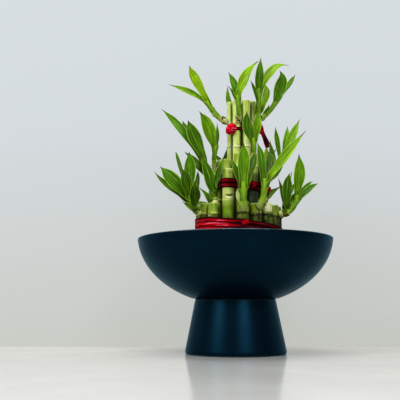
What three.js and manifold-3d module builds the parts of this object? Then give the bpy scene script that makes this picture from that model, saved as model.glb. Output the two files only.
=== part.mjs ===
// Lucky bamboo: three tiers of cut canes tied with ribbon, standing in pebbles in a footed bowl.
// Millimetres, +Z up. The origin is the centre of the foot's underside.
import * as THREE from "three";
import { mergeVertices } from "three/addons/utils/BufferGeometryUtils.js";
import Module from "manifold-3d";

const wasm = await Module();
wasm.setup();

// Bowl and foot
const rimRadius = 100;
const rimHeight = 115.4;
const bowlBase = 55; // underside of the bowl, where it sits on the foot
const bowlBaseRadius = 43.7;
const bowlFloor = 59.2; // inside, where the canes stand
const bowlWall = 2;
const bulgeHeight = 119.4; // height at which the bowl's curve would stand upright
const bowlSides = 40;
const footTopRadius = 40.7;
const footBaseRadius = 51.6;
const footWall = 3;
const footEdge = 3; // rounding at the floor
const footFlange = 5.5; // width of the foot's thickened bottom edge
const footSides = 40;

// Pebbles
const pebbleLevel = 96; // height of the hollows between the pebbles
const pebbleRise = 4.6;
const pebbleRows = 3;
const pebblesRound = 20;
const pebbleGap = 0.8; // clear of the bowl's wall

// Canes: the three tiers are rings round nearly the same axis
const caneSides = 8;
const nodeRidge = 0.45;
const frontCane = 6.3;
const backCane = 7.2;
const lowerRing = { x: 4, y: 0, radius: 38.2, top: 150 };
const middleRing = { x: 8, y: 0, radius: 21.8, cane: 5.7, count: 10, first: -10 };
const upperRing = { x: 8, y: 0, radius: 11.2, cane: 4.5, count: 7, first: -80, top: 262 };
const coreCane = 5.9;
const bundleHole = 45.6; // radius of the hole that the pebbles leave for the canes
const leaderCane = { x: -7.1, y: -28.6, r: 6.6, top: 183.5, node: 153.5 };

// Ribbons
const ribbonGap = 0.35;
const ribbonThick = 0.8;

// Shoots
const seat = 0.35; // space between a shoot's foot and its cane
const bladeThick = 1.3;
const bladeFold = 0.16; // how far the blade's edges rise, as a share of its width
const stemSides = 6;
// Along a blade: how far, and how wide there as a share of its full width
const bladeShape = [
  [0, 0.3],
  [0.2, 0.62],
  [0.45, 1],
  [0.68, 0.84],
  [0.87, 0.4],
];

const paint = { bowl: 0x14303c, pebble: 0xb9b3a6, ribbon: 0xa51c26 };
const green = { lowerCane: 0x7d8c38, middleCane: 0x8f9f4a, upperCane: 0xa3b35a, leaf: 0x5f9a1e };

const part = new THREE.Group();

function turn(degrees) {
  return THREE.MathUtils.degToRad(degrees);
}

// A place on a ring, by its angle from the front (-Y) towards +X.
function onRing(ring, degrees, radius = ring.radius) {
  const a = turn(degrees);
  return { x: ring.x + radius * Math.sin(a), y: ring.y - radius * Math.cos(a) };
}

function finish(colour, roughness) {
  return new THREE.MeshStandardMaterial({ color: colour, roughness, metalness: 0 });
}

function addPart(name, geometry, colour, roughness) {
  const mesh = new THREE.Mesh(geometry, finish(colour, roughness));
  mesh.name = name;
  part.add(mesh);
}

// Geometry to a solid that can be joined and cut, without the faces that have shrunk to a line.
function toSolid(geometry) {
  const bare = geometry.clone();
  bare.deleteAttribute("normal");
  bare.deleteAttribute("uv");
  const merged = mergeVertices(bare, 1e-3);
  const corners = merged.index.array;
  const kept = [];
  for (let i = 0; i < corners.length; i += 3) {
    const [a, b, c] = [corners[i], corners[i + 1], corners[i + 2]];
    if (a !== b && b !== c && c !== a) kept.push(a, b, c);
  }
  return new wasm.Manifold(
    new wasm.Mesh({
      numProp: 3,
      vertProperties: merged.getAttribute("position").array,
      triVerts: new Uint32Array(kept),
    }),
  );
}

function toGeometry(solid) {
  const mesh = solid.getMesh();
  const geometry = new THREE.BufferGeometry();
  geometry.setAttribute("position", new THREE.BufferAttribute(mesh.vertProperties, 3));
  geometry.setIndex(new THREE.BufferAttribute(mesh.triVerts, 1));
  geometry.computeVertexNormals();
  return geometry;
}

function turned(outline, sides) {
  return new THREE.LatheGeometry(outline, sides).rotateX(Math.PI / 2);
}

function signedVolume(points, faces) {
  let total = 0;
  const cross = new THREE.Vector3();
  for (const [a, b, c] of faces) total += points[a].dot(cross.crossVectors(points[b], points[c]));
  return total / 6;
}

// Points and faces as geometry, with every face turned outwards.
function facing(points, faces) {
  const flip = signedVolume(points, faces) < 0;
  const geometry = new THREE.BufferGeometry().setFromPoints(points);
  geometry.setIndex(faces.flatMap(([a, b, c]) => (flip ? [a, c, b] : [a, b, c])));
  return geometry;
}

// A closed skin over rings of equal count. The last ring may be a single point. Its diagonals all
// leave the even corners, so a four-cornered blade is split alike on both faces.
function skin(rings) {
  const count = rings[0].length;
  const points = rings.flat();
  const faces = [];
  for (let j = 1; j < count - 1; j++) faces.push([0, j + 1, j]);
  for (let i = 0; i < rings.length - 1; i++) {
    const here = i * count;
    const next = here + count;
    for (let j = 0; j < count; j++) {
      const k = (j + 1) % count;
      if (rings[i + 1].length === 1) faces.push([here + j, here + k, next]);
      else if (j % 2 === 0) faces.push([here + j, here + k, next + k], [here + j, next + k, next + j]);
      else faces.push([here + j, here + k, next + j], [here + k, next + k, next + j]);
    }
  }
  const last = points.length - count;
  if (rings.at(-1).length === count) {
    for (let j = 1; j < count - 1; j++) faces.push([last, last + j, last + j + 1]);
  }
  return facing(points, faces);
}

// A closed hoop: rings of equal count, each round the axis, with the last joined to the first.
function hoop(rings) {
  const count = rings[0].length;
  const points = rings.flat();
  const faces = [];
  for (let i = 0; i < rings.length; i++) {
    const here = i * count;
    const next = ((i + 1) % rings.length) * count;
    for (let j = 0; j < count; j++) {
      const k = (j + 1) % count;
      faces.push([here + j, here + k, next + k], [here + j, next + k, next + j]);
    }
  }
  return facing(points, faces);
}

// The bowl's curve: radius and height at an angle below upright, set in from the outside by a wall.
function bowlCurve(angle, inset) {
  const across = rimRadius * 1.0016 - inset;
  const share = Math.sqrt(1 - (bowlBaseRadius / (rimRadius * 1.0016)) ** 2);
  const deep = (bulgeHeight - bowlBase) / share - inset;
  return new THREE.Vector2(across * Math.cos(angle), bulgeHeight - deep * Math.sin(angle));
}

// The angle at which that curve reaches a height.
function bowlAngle(height, inset) {
  const deep = bulgeHeight - bowlCurve(Math.PI / 2, inset).y;
  return Math.asin((bulgeHeight - height) / deep);
}

function bowlArc(from, to, inset, steps) {
  const start = bowlAngle(from, inset);
  const end = bowlAngle(to, inset);
  return Array.from({ length: steps + 1 }, (_, i) =>
    bowlCurve(start + ((end - start) * i) / steps, inset),
  );
}

function makeBowl() {
  const lip = bowlWall / 2;
  const outside = bowlArc(bowlBase, rimHeight - lip, 0, 9);
  const inside = bowlArc(rimHeight - lip, bowlFloor, bowlWall, 6);
  const edge = new THREE.Vector2(rimRadius - lip, rimHeight);
  const outline = [new THREE.Vector2(0, bowlBase), ...outside, edge, ...inside];
  outline.push(new THREE.Vector2(0, bowlFloor));
  return turned(outline, bowlSides);
}

function makeFoot() {
  const slope = (footBaseRadius - footTopRadius) / bowlBase;
  const radiusAt = (height) => footBaseRadius - slope * height;
  const under = bowlBase - footWall;
  const outline = [
    [radiusAt(0) - footFlange, 0],
    [radiusAt(0) - footEdge * 0.6, 0],
    [radiusAt(0) - footEdge * 0.15, footEdge * 0.3],
    [radiusAt(footEdge), footEdge],
    [radiusAt(bowlBase - 1), bowlBase - 1],
    [footTopRadius - 1, bowlBase],
    [0, bowlBase],
    [0, under],
    [radiusAt(under) - footWall, under],
    [radiusAt(4) - footWall, 4],
    [radiusAt(0) - footFlange, 1.5],
    [radiusAt(0) - footFlange, 0],
  ];
  return turned(
    outline.map(([r, z]) => new THREE.Vector2(r, z)),
    footSides,
  );
}

// How far the hole for the canes reaches from the bowl's axis, at an angle.
function holeReach(angle) {
  const along = lowerRing.x * Math.sin(angle);
  return along + Math.sqrt(along ** 2 - lowerRing.x ** 2 + bundleHole ** 2);
}

// A repeatable number from 0 to 1 for each pair of counts.
function scatter(i, j) {
  const wave = Math.sin(i * 12.9898 + j * 78.233) * 43758.5453;
  return wave - Math.floor(wave);
}

function ringOfPoints(sides, pointAt) {
  return Array.from({ length: sides }, (_, k) => {
    const a = (2 * Math.PI * k) / sides;
    const [r, z] = pointAt(a, k);
    return new THREE.Vector3(r * Math.sin(a), -r * Math.cos(a), z);
  });
}

// The pebbles as one bed, a thick ring between the bowl's wall and the canes. Each pebble is a
// pillow of three by three faces, four corners of which stand up, and the rows are staggered.
function makePebbles() {
  const inset = bowlWall + pebbleGap;
  const sides = 3 * pebblesRound;
  const wall = bowlArc(pebbleLevel - 1.5, bowlFloor + 0.3, inset, 4).reverse();
  const rings = wall.map((p) => ringOfPoints(sides, () => [p.x, p.y]));
  const edge = wall.at(-1).x;
  const steps = 3 * pebbleRows;
  for (let i = 0; i <= steps; i++) {
    const row = Math.floor(i / 3);
    const ring = ringOfPoints(sides, (a, k) => {
      const place = (k + row) % sides;
      const pebble = Math.floor(place / 3);
      const raised = i % 3 !== 0 && place % 3 !== 0;
      const rise = raised ? pebbleRise * (0.6 + 0.4 * scatter(row, pebble)) : 0;
      return [edge + ((holeReach(a) - edge) * i) / steps, pebbleLevel + rise];
    });
    rings.push(ring);
  }
  rings.push(ringOfPoints(sides, (a) => [holeReach(a), wall[0].y]));
  return hoop(rings);
}

function makeCane({ x, y, r, top, nodes }) {
  const outline = [
    [0, bowlFloor],
    [r, bowlFloor],
  ];
  for (const z of [...nodes].sort((a, b) => a - b)) {
    outline.push([r, z - 1.7], [r + nodeRidge, z - 0.3], [r, z + 0.8]);
  }
  outline.push([r, top - 0.6], [r - 0.6, top], [0, top]);
  const cane = turned(
    outline.map(([a, b]) => new THREE.Vector2(a, b)),
    caneSides,
  );
  return cane.translate(x, y, 0);
}

function lowerCanes() {
  const front = [-83, -63, -43, 3, 23, 43, 63, 83];
  const backSteps = 8;
  const span = 360 - 83 - 83;
  const back = Array.from({ length: backSteps - 1 }, (_, i) => 83 + (span * (i + 1)) / backSteps);
  return [...front, ...back].map((angle, i) => {
    const isBack = i >= front.length;
    const top = lowerRing.top - 3 * scatter(i, 2) + (isBack ? 2 : 0);
    const place = onRing(lowerRing, angle);
    return { ...place, angle, r: isBack ? backCane : frontCane, top, nodes: [top - 11] };
  });
}

function middleCanes() {
  return Array.from({ length: middleRing.count }, (_, i) => {
    const angle = middleRing.first + (i * 360) / middleRing.count;
    const top = 202 - 6 * scatter(i, 7);
    const nodes = [top - 14, top - 42];
    return { ...onRing(middleRing, angle), angle, r: middleRing.cane, top, nodes };
  });
}

function upperCanes() {
  const ring = Array.from({ length: upperRing.count }, (_, i) => {
    const angle = upperRing.first + (i * 360) / upperRing.count;
    const top = upperRing.top - 1.5 * scatter(i, 4);
    const nodes = [top - 24, top - 50];
    return { ...onRing(upperRing, angle), angle, r: upperRing.cane, top, nodes };
  });
  const core = { x: upperRing.x, y: upperRing.y, r: coreCane, top: upperRing.top - 0.5 };
  return [...ring, { ...core, nodes: [upperRing.top - 24] }];
}

const leader = { ...leaderCane, nodes: [leaderCane.node] };
const canes = {
  lower: lowerCanes(),
  middle: middleCanes(),
  upper: upperCanes(),
  leader: [leader],
};

// The outline round a group of canes, as a string drawn tight would lie, spaced off by a gap.
function wrapOutline(group, gap, steps) {
  return Array.from({ length: steps }, (_, i) => {
    const a = (2 * Math.PI * i) / steps;
    const u = new THREE.Vector2(Math.sin(a), -Math.cos(a));
    const reach = (c) => c.x * u.x + c.y * u.y + c.r;
    const far = group.reduce((best, c) => (reach(c) > reach(best) ? c : best));
    return new THREE.Vector2(far.x, far.y).addScaledVector(u, far.r + gap);
  });
}

// A band of ribbon: two rolled turns with a groove between, leaning by tilt towards +X.
function makeBand(group, { low, high, tilt, steps }) {
  const mid = (low + high) / 2;
  const section = [
    [0, low],
    [ribbonThick, low + 0.6],
    [ribbonThick, mid - 0.7],
    [ribbonThick * 0.5, mid],
    [ribbonThick, mid + 0.7],
    [ribbonThick, high - 0.6],
    [0, high],
  ];
  const centre = group.reduce((sum, c) => sum + c.x, 0) / group.length;
  const rings = section.map(([out, z]) =>
    wrapOutline(group, ribbonGap + out, steps).map(
      (p) => new THREE.Vector3(p.x, p.y, z - tilt * (p.x - centre)),
    ),
  );
  return hoop(rings);
}

// A twisted knot of ribbon, flattened against the canes in the direction of an angle.
function makeKnot({ place, across, tall, deep, angle }) {
  const knot = new THREE.IcosahedronGeometry(1, 1);
  const spots = knot.getAttribute("position");
  const point = new THREE.Vector3();
  for (let i = 0; i < spots.count; i++) {
    point.fromBufferAttribute(spots, i);
    const swell = 1 + 0.1 * Math.sin(5 * Math.atan2(point.z, point.x));
    spots.setXYZ(i, point.x * across * swell, point.y * deep, point.z * tall * swell);
  }
  knot.rotateZ(turn(angle)).translate(...place);
  return toSolid(knot);
}

function makeTail(from, to, width) {
  const start = new THREE.Vector3(...from);
  const end = new THREE.Vector3(...to);
  const across = new THREE.Vector3(0.85, 0.2, 0.5).normalize().multiplyScalar(width / 2);
  const deep = new THREE.Vector3(0, -ribbonThick, 0);
  const steps = 4;
  const rings = Array.from({ length: steps + 1 }, (_, i) => {
    const p = start.clone().lerp(end, i / steps);
    p.y -= 2.5 * Math.sin((Math.PI * i) / steps);
    const side = across.clone().multiplyScalar(1 - 0.25 * (i / steps));
    return [
      p.clone().sub(side),
      p.clone().add(side),
      p.clone().add(side).add(deep),
      p.clone().sub(side).add(deep),
    ];
  });
  return toSolid(skin(rings));
}

// One leaf: a midrib curve from the stem to the tip, with a folded lens section.
function makeBlade(from, heading, leaf) {
  const tip = new THREE.Vector3(...leaf.tip);
  const reach = tip.distanceTo(from);
  const bend = from.clone().addScaledVector(heading, reach * 0.42);
  if (leaf.via) {
    bend.set(...leaf.via).multiplyScalar(2);
    bend.addScaledVector(from, -0.5).addScaledVector(tip, -0.5);
  }
  const midrib = new THREE.QuadraticBezierCurve3(from, bend, tip);
  const face = new THREE.Vector3(...(leaf.face ?? [0, -1, 0.25]));
  const rings = bladeShape.map(([along, share]) => {
    const p = midrib.getPoint(along);
    const side = midrib.getTangent(along).cross(face).normalize();
    const up = side.clone().cross(midrib.getTangent(along)).normalize();
    const half = (leaf.wide * share) / 2;
    const lift = up.clone().multiplyScalar(leaf.wide * share * bladeFold);
    const thick = up.clone().multiplyScalar((bladeThick / 2) * (0.75 + 0.25 * share));
    return [
      p.clone().addScaledVector(side, -half).add(lift),
      p.clone().add(thick),
      p.clone().addScaledVector(side, half).add(lift),
      p.clone().sub(thick),
    ];
  });
  rings.push([tip]);
  return toSolid(skin(rings));
}

// A leafy shoot: a stem of rolled sheaths that leaves its cane sideways and turns up, with blades.
function makeShoot({ cane, at, bend, end, thick, leaves }) {
  const foot = new THREE.Vector3(cane.x, cane.y, at);
  const middle = new THREE.Vector3(...bend);
  const outward = middle.clone().sub(foot).setZ(0).normalize();
  const onNode = cane.nodes.some((z) => Math.abs(z - at) < thick / 2 + 2);
  foot.addScaledVector(outward, cane.r + seat + (onNode ? nodeRidge : 0));
  const stem = new THREE.QuadraticBezierCurve3(foot, middle, new THREE.Vector3(...end));
  const steps = 4;
  const rings = Array.from({ length: steps + 1 }, (_, i) => {
    const t = i / steps;
    const p = stem.getPoint(t);
    const along = i === 0 ? outward.clone() : stem.getTangent(t);
    const side = along.clone().cross(new THREE.Vector3(0.31, 0.17, 0.93)).normalize();
    const other = along.clone().cross(side).normalize();
    const r = (thick / 2) * (1 - 0.35 * t);
    return Array.from({ length: stemSides }, (_, k) => {
      const a = (2 * Math.PI * k) / stemSides;
      const spoke = side.clone().multiplyScalar(Math.cos(a)).addScaledVector(other, Math.sin(a));
      return p.clone().addScaledVector(spoke, r);
    });
  });
  let solid = toSolid(skin(rings));
  for (const leaf of leaves) {
    solid = solid.add(makeBlade(stem.getPoint(leaf.from), stem.getTangent(leaf.from), leaf));
  }
  return toGeometry(solid);
}

// A shoot that is placed by rule: blades left and right in turn up a stem that leans outwards.
function plainShoot(cane, at, angle, { reach, count, wide }) {
  const out = new THREE.Vector3(Math.sin(turn(angle)), -Math.cos(turn(angle)), 0);
  const across = new THREE.Vector3(-out.y, out.x, 0);
  const up = new THREE.Vector3(0, 0, 1);
  const base = new THREE.Vector3(cane.x, cane.y, at).addScaledVector(out, cane.r);
  const bend = base.clone().addScaledVector(out, 8).addScaledVector(up, 3);
  const end = bend.clone().addScaledVector(out, 3).addScaledVector(up, 0.4 * reach);
  const leaves = Array.from({ length: count }, (_, i) => {
    const height = i / (count - 1);
    const hand = i % 2 === 0 ? 1 : -1;
    const open = turn(56 - 46 * height);
    const aside = across.clone().multiplyScalar(hand).addScaledVector(out, 0.55).normalize();
    const rise = up.clone().addScaledVector(out, 0.2).normalize();
    const way = rise.multiplyScalar(Math.cos(open)).addScaledVector(aside, Math.sin(open));
    const root = base.clone().lerp(end, 0.35 + 0.6 * height);
    const long = reach * (0.85 + 0.25 * scatter(i, angle));
    return {
      from: 0.3 + 0.65 * height,
      wide: wide * (0.85 + 0.25 * scatter(angle, i)),
      tip: root.addScaledVector(way, long).toArray(),
      face: [-out.x, -out.y, 0.5],
    };
  });
  return { cane, at, bend: bend.toArray(), end: end.toArray(), thick: 5.4, leaves };
}

const { lower, middle, upper } = canes;

// Each shoot: the cane it grows from, the height, the stem's bend and end, and its leaves.
// A leaf has where it leaves the stem (0 foot to 1 end), its width and its tip.
const shoots = {
  shoot_top_left: {
    cane: upper[0],
    at: 240,
    bend: [-18, -8, 241],
    end: [-29, -12, 260],
    thick: 6.6,
    leaves: [
      { from: 0.8, wide: 10.5, tip: [-47, -24, 295], via: [-41, -18, 281] },
      { from: 0.9, wide: 6.5, tip: [-70, -13, 278], via: [-47, -12, 270] },
      { from: 0.7, wide: 4, tip: [-30, -6, 271] },
      { from: 0.1, wide: 3.5, tip: [-24, -3, 247.5] },
    ],
  },
  shoot_top_front: {
    cane: upper[1],
    at: 238,
    bend: [6, -25, 242],
    end: [2, -27, 262],
    thick: 6.4,
    leaves: [
      { from: 0.8, wide: 8, tip: [-7, -30, 286], via: [-1, -29, 272] },
      { from: 0.85, wide: 10.5, tip: [25, -33, 297], via: [10, -31, 279] },
      { from: 0.6, wide: 5, tip: [-8, -29, 272] },
    ],
  },
  shoot_top_centre: {
    cane: upper[3],
    at: 240,
    bend: [27, -12, 246],
    end: [25, -17, 272],
    thick: 6.4,
    leaves: [
      { from: 0.75, wide: 9.5, tip: [28, -22, 305], via: [26, -20, 284] },
      { from: 0.8, wide: 9, tip: [59, -10, 300], via: [39, -15, 292] },
      { from: 0.55, wide: 4, tip: [16, -25, 279], via: [21, -21, 268] },
      { from: 0.35, wide: 8, tip: [31, -9, 281], via: [34, -9, 268] },
    ],
  },
  shoot_top_right: {
    cane: upper[4],
    at: 243,
    bend: [33, 5, 244],
    end: [46, 3, 264],
    thick: 6.2,
    leaves: [
      { from: 0.8, wide: 13, tip: [49, -6, 296], via: [51, -1, 281] },
      { from: 0.95, wide: 5.5, tip: [68, 8, 297], via: [60, 6, 284] },
      { from: 0.35, wide: 6, tip: [38, 0, 261] },
    ],
  },
  shoot_middle_front: {
    cane: middle[1],
    at: 196,
    bend: [19, -31, 199],
    end: [18, -33, 215],
    thick: 6,
    leaves: [
      { from: 0.7, wide: 11, tip: [11, -44, 240], via: [12, -38, 225] },
      { from: 0.8, wide: 8.5, tip: [22, -36, 244], via: [22, -34, 228] },
    ],
  },
  shoot_left_tall: {
    cane: lower[2],
    at: 147,
    bend: [-20.5, -19.5, 165],
    end: [-33, -29, 195],
    thick: 7,
    leaves: [
      { from: 0.85, wide: 8.5, tip: [-76, -30, 246], via: [-56, -30, 225] },
      { from: 0.9, wide: 13.5, tip: [-48, -41, 231], via: [-42, -36, 216] },
      { from: 0.8, wide: 8, tip: [-54, -22, 236], via: [-47, -25, 219] },
      { from: 0.6, wide: 8, tip: [-52, -27, 202], via: [-40, -28, 190] },
      { from: 0.3, wide: 12, tip: [-36, -35, 201], via: [-27, -30, 175] },
      { from: 0.35, wide: 6, tip: [-12, -34, 196], via: [-18, -33, 178] },
    ],
  },
  shoot_left_inner: {
    cane: middle[8],
    at: 189,
    bend: [-24, -9, 191],
    end: [-19, -14, 212],
    thick: 6,
    leaves: [
      { from: 0.8, wide: 13.5, tip: [-37, -26, 245], via: [-28, -20, 229] },
      { from: 0.9, wide: 4.5, tip: [-18, -10, 238] },
    ],
  },
  shoot_front: {
    cane: lower[3],
    at: 141,
    bend: [6, -53, 146],
    end: [6, -54, 166],
    thick: 8.5,
    leaves: [
      { from: 0.75, wide: 12, tip: [6, -62, 203], via: [6, -59, 184] },
      { from: 0.7, wide: 6, tip: [-6, -52, 190], via: [-1, -54, 176] },
      { from: 0.75, wide: 7.5, tip: [17, -47, 196], via: [15, -51, 184] },
    ],
  },
  shoot_front_right: {
    cane: lower[4],
    at: 144,
    bend: [27, -48, 148],
    end: [27, -48, 170],
    thick: 8,
    leaves: [
      { from: 0.8, wide: 8, tip: [20, -50, 206], via: [24, -51, 188] },
      { from: 0.75, wide: 10, tip: [31, -39, 200], via: [33, -43, 185] },
      { from: 0.85, wide: 9.5, tip: [70, -46, 220], via: [47, -49, 192] },
    ],
  },
  shoot_right_tall: {
    cane: middle[2],
    at: 176,
    bend: [45, -21, 176],
    end: [49, -22, 200],
    thick: 5.5,
    leaves: [
      { from: 0.75, wide: 5.5, tip: [41, -26, 229], via: [43, -24, 213] },
      { from: 0.85, wide: 6.5, tip: [55, -13, 233], via: [53, -18, 216] },
      { from: 0.9, wide: 9, tip: [67, -22, 238], via: [58, -23, 218] },
      { from: 0.8, wide: 8, tip: [64, -31, 214], via: [55, -28, 205] },
      { from: 0.5, wide: 6, tip: [36, -20, 217], via: [38, -19, 200] },
    ],
  },
  shoot_low_left: {
    cane: lower[1],
    at: 140,
    bend: [-43, -24, 141],
    end: [-47, -29, 157],
    thick: 7,
    leaves: [
      { from: 0.8, wide: 14, tip: [-76, -36, 185], via: [-64, -33, 172] },
      { from: 0.7, wide: 5.5, tip: [-83, -21, 183], via: [-68, -25, 167] },
      { from: 0.75, wide: 4.2, tip: [-61, -19, 204], via: [-57, -23, 190] },
      { from: 0.85, wide: 12.5, tip: [-47, -36, 200], via: [-46, -34, 182] },
      { from: 0.75, wide: 11, tip: [-54, -46, 180], via: [-50, -41, 170] },
      { from: 0.45, wide: 11, tip: [-41, -58, 166], via: [-41, -48, 156] },
      { from: 0.5, wide: 5, tip: [-38, -20, 184], via: [-39, -24, 170] },
    ],
  },
  shoot_low_right: {
    cane: lower[6],
    at: 139,
    bend: [58, -24, 138],
    end: [62, -23, 158],
    thick: 7,
    leaves: [
      { from: 0.85, wide: 11.5, tip: [64, -28, 200], via: [64, -27, 179] },
      { from: 0.3, wide: 10.5, tip: [54, -33, 179], via: [51, -29, 164] },
      { from: 0.75, wide: 6.5, tip: [85, -17, 171], via: [74, -19, 164] },
      { from: 0.8, wide: 5, tip: [81, -9, 175], via: [72, -14, 167] },
      { from: 0.7, wide: 4.5, tip: [72, -8, 185], via: [66, -14, 172] },
      { from: 0.25, wide: 4.5, tip: [43, -24, 176], via: [47, -24, 160] },
    ],
  },
  shoot_back_a: plainShoot(lower[8], 140, 112, { reach: 36, count: 5, wide: 11 }),
  shoot_back_b: plainShoot(lower[10], 141, 160, { reach: 42, count: 5, wide: 12 }),
  shoot_back_c: plainShoot(lower[12], 140, 202, { reach: 38, count: 5, wide: 12 }),
  shoot_back_d: plainShoot(lower[13], 139, 241, { reach: 30, count: 5, wide: 11 }),
  shoot_back_e: plainShoot(middle[4], 178, 134, { reach: 34, count: 5, wide: 10 }),
  shoot_back_f: plainShoot(middle[6], 178, 200, { reach: 30, count: 4, wide: 10 }),
  shoot_top_back: {
    cane: upper[5],
    at: 237,
    bend: [4, 23, 239],
    end: [1, 20, 254],
    thick: 5.2,
    leaves: [
      { from: 0.85, wide: 6.5, tip: [-6, 9, 284], via: [-4, 14, 268], face: [-0.3, 1, 0.2] },
      { from: 0.7, wide: 8, tip: [22, 34, 266], via: [12, 26, 259], face: [-0.2, -0.6, 1] },
      { from: 0.5, wide: 7, tip: [-4, 44, 262], via: [0, 32, 257], face: [0.2, -0.5, 1] },
      { from: 0.9, wide: 6, tip: [10, 24, 281], via: [6, 22, 268], face: [0, 1, -0.3] },
    ],
  },
};

addPart("bowl", makeBowl(), paint.bowl, 0.4);
addPart("foot", makeFoot(), paint.bowl, 0.4);
addPart("pebbles", makePebbles(), paint.pebble, 0.7);
lower.forEach((cane, i) => addPart(`cane_lower_${i + 1}`, makeCane(cane), green.lowerCane, 0.45));
middle.forEach((cane, i) => addPart(`cane_middle_${i + 1}`, makeCane(cane), green.middleCane, 0.45));
upper.forEach((cane, i) => addPart(`cane_upper_${i + 1}`, makeCane(cane), green.upperCane, 0.45));
addPart("cane_leader", makeCane(leader), green.middleCane, 0.45);

const lowerBand = makeBand(lower, { low: 117, high: 131, tilt: 0.11, steps: 48 });
addPart("ribbon_lower", lowerBand, paint.ribbon, 0.35);
const middleBand = makeBand([...middle, leader], { low: 163, high: 172.5, tilt: 0.06, steps: 40 });
addPart("ribbon_middle", middleBand, paint.ribbon, 0.35);
const upperBand = toSolid(makeBand(upper, { low: 228, high: 231.5, tilt: 0, steps: 28 }));
const leftKnot = { place: [-4.4, -12.8, 229.3], across: 5, tall: 6, deep: 2.6, angle: -52 };
const rightKnot = { place: [25.7, -6.4, 229.8], across: 4.2, tall: 5, deep: 2.2, angle: 60 };
const upperTail = makeTail([26.6, -8, 228], [34.5, -16, 209], 6.5);
const upperRibbon = toGeometry(
  [leftKnot, rightKnot].map(makeKnot).reduce((sum, knot) => sum.add(knot), upperBand.add(upperTail)),
);
addPart("ribbon_upper", upperRibbon, paint.ribbon, 0.35);

for (const [name, shoot] of Object.entries(shoots)) addPart(name, makeShoot(shoot), green.leaf, 0.5);

export default part;
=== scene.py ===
import bmesh
import bpy
import random
from math import asin, cos, exp, hypot, pi, radians, sin, sqrt
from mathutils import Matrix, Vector, noise


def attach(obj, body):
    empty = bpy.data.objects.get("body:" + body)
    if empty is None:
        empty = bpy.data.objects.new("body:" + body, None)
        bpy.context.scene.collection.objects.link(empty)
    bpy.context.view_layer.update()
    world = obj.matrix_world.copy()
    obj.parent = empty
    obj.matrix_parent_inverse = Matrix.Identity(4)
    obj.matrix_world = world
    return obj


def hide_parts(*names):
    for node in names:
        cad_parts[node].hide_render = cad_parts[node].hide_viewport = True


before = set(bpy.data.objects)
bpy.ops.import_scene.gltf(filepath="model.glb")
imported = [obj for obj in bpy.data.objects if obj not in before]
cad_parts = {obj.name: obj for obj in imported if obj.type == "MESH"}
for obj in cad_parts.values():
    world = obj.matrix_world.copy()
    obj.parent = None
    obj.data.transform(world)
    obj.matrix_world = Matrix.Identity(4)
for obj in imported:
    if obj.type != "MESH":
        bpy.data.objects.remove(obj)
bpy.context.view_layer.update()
mm = 0.001

# Lucky bamboo: three tiers of canes with leafy shoots, tied with red ribbon, in a dark footed bowl.
# Sizes are in millimetres in the frame's own axes, Z up and the photo's side towards -Y.


def scatter(i, j):  # a repeatable number from 0 to 1, the same rule that sets the canes' heights
    return sin(i * 12.9898 + j * 78.233) * 43758.5453 % 1


def smooth(low, high, x):  # from 0 at low to 1 at high, and either may be the larger
    s = min(1.0, max(0.0, (x - low) / (high - low)))
    return s * s * (3 - 2 * s)


def hump(x, width):  # 1 at 0, and soon 0 past its width
    return exp(-(x / width) ** 2)


def mix(a, b, share):
    return a + (b - a) * share


def srgb(red, green, blue):  # screen colour, 0 to 255, to the shader's linear colour
    shares = [c / 255 for c in (red, green, blue)]
    return (*(c / 12.92 if c <= 0.04045 else ((c + 0.055) / 1.055) ** 2.4 for c in shares), 1.0)


def around(count):  # the angles of a ring of points
    return [2 * pi * k / count for k in range(count)]


def polar(r, a, x=0.0, y=0.0):  # the place at an angle round a centre, from the front
    return x + r * sin(a), y - r * cos(a)


def waysAt(degrees):  # the ways out, up and across at an angle, from the front
    out = Vector((*polar(1, radians(degrees)), 0))
    return out, Vector((0, 0, 1)), Vector((-out.y, out.x, 0))


def addThing(name, data):
    thing = bpy.data.objects.new(name, data)
    bpy.context.collection.objects.link(thing)
    return thing


class Shape:
    # gathers points, faces and per-point values, and becomes one piece at the end
    def __init__(self):
        self.points, self.faces, self.values = [], [], []

    def grid(self, rows, values=None, closed=False):
        # joins rings of equally many points; gives the numbers that the first and the last ring start at
        start, across = len(self.points), len(rows[0])
        for i, row in enumerate(rows):
            self.points += row
            self.values += values[i] if values else [{}] * across
        for i in range(len(rows) if closed else len(rows) - 1):
            here, there = start + i * across, start + (i + 1) % len(rows) * across
            for j in range(across):
                k = (j + 1) % across
                self.faces.append((here + j, here + k, there + k, there + j))
        return start, start + (len(rows) - 1) * across

    def cap(self, first, count, middle, value=None, flip=False):
        # closes a ring of points with a fan to one point
        centre = len(self.points)
        self.points.append(middle)
        self.values.append(value or {})
        for j in range(count):
            a, b = first + j, first + (j + 1) % count
            self.faces.append((b, a, centre) if flip else (a, b, centre))

    def piece(self, name, nodes, material):
        mesh = bpy.data.meshes.new(name)
        mesh.from_pydata([tuple(c * mm for c in p) for p in self.points], [], self.faces)
        for key in sorted({k for v in self.values for k in v}):
            layer = mesh.attributes.new(key, "FLOAT", "POINT")
            layer.data.foreach_set("value", [v.get(key, 0.0) for v in self.values])
        mesh.validate()
        mesh.update()
        mesh.shade_smooth()
        mesh.materials.append(material)
        thing = addThing(name, mesh)
        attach(thing, "root")
        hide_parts(*nodes)


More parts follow.
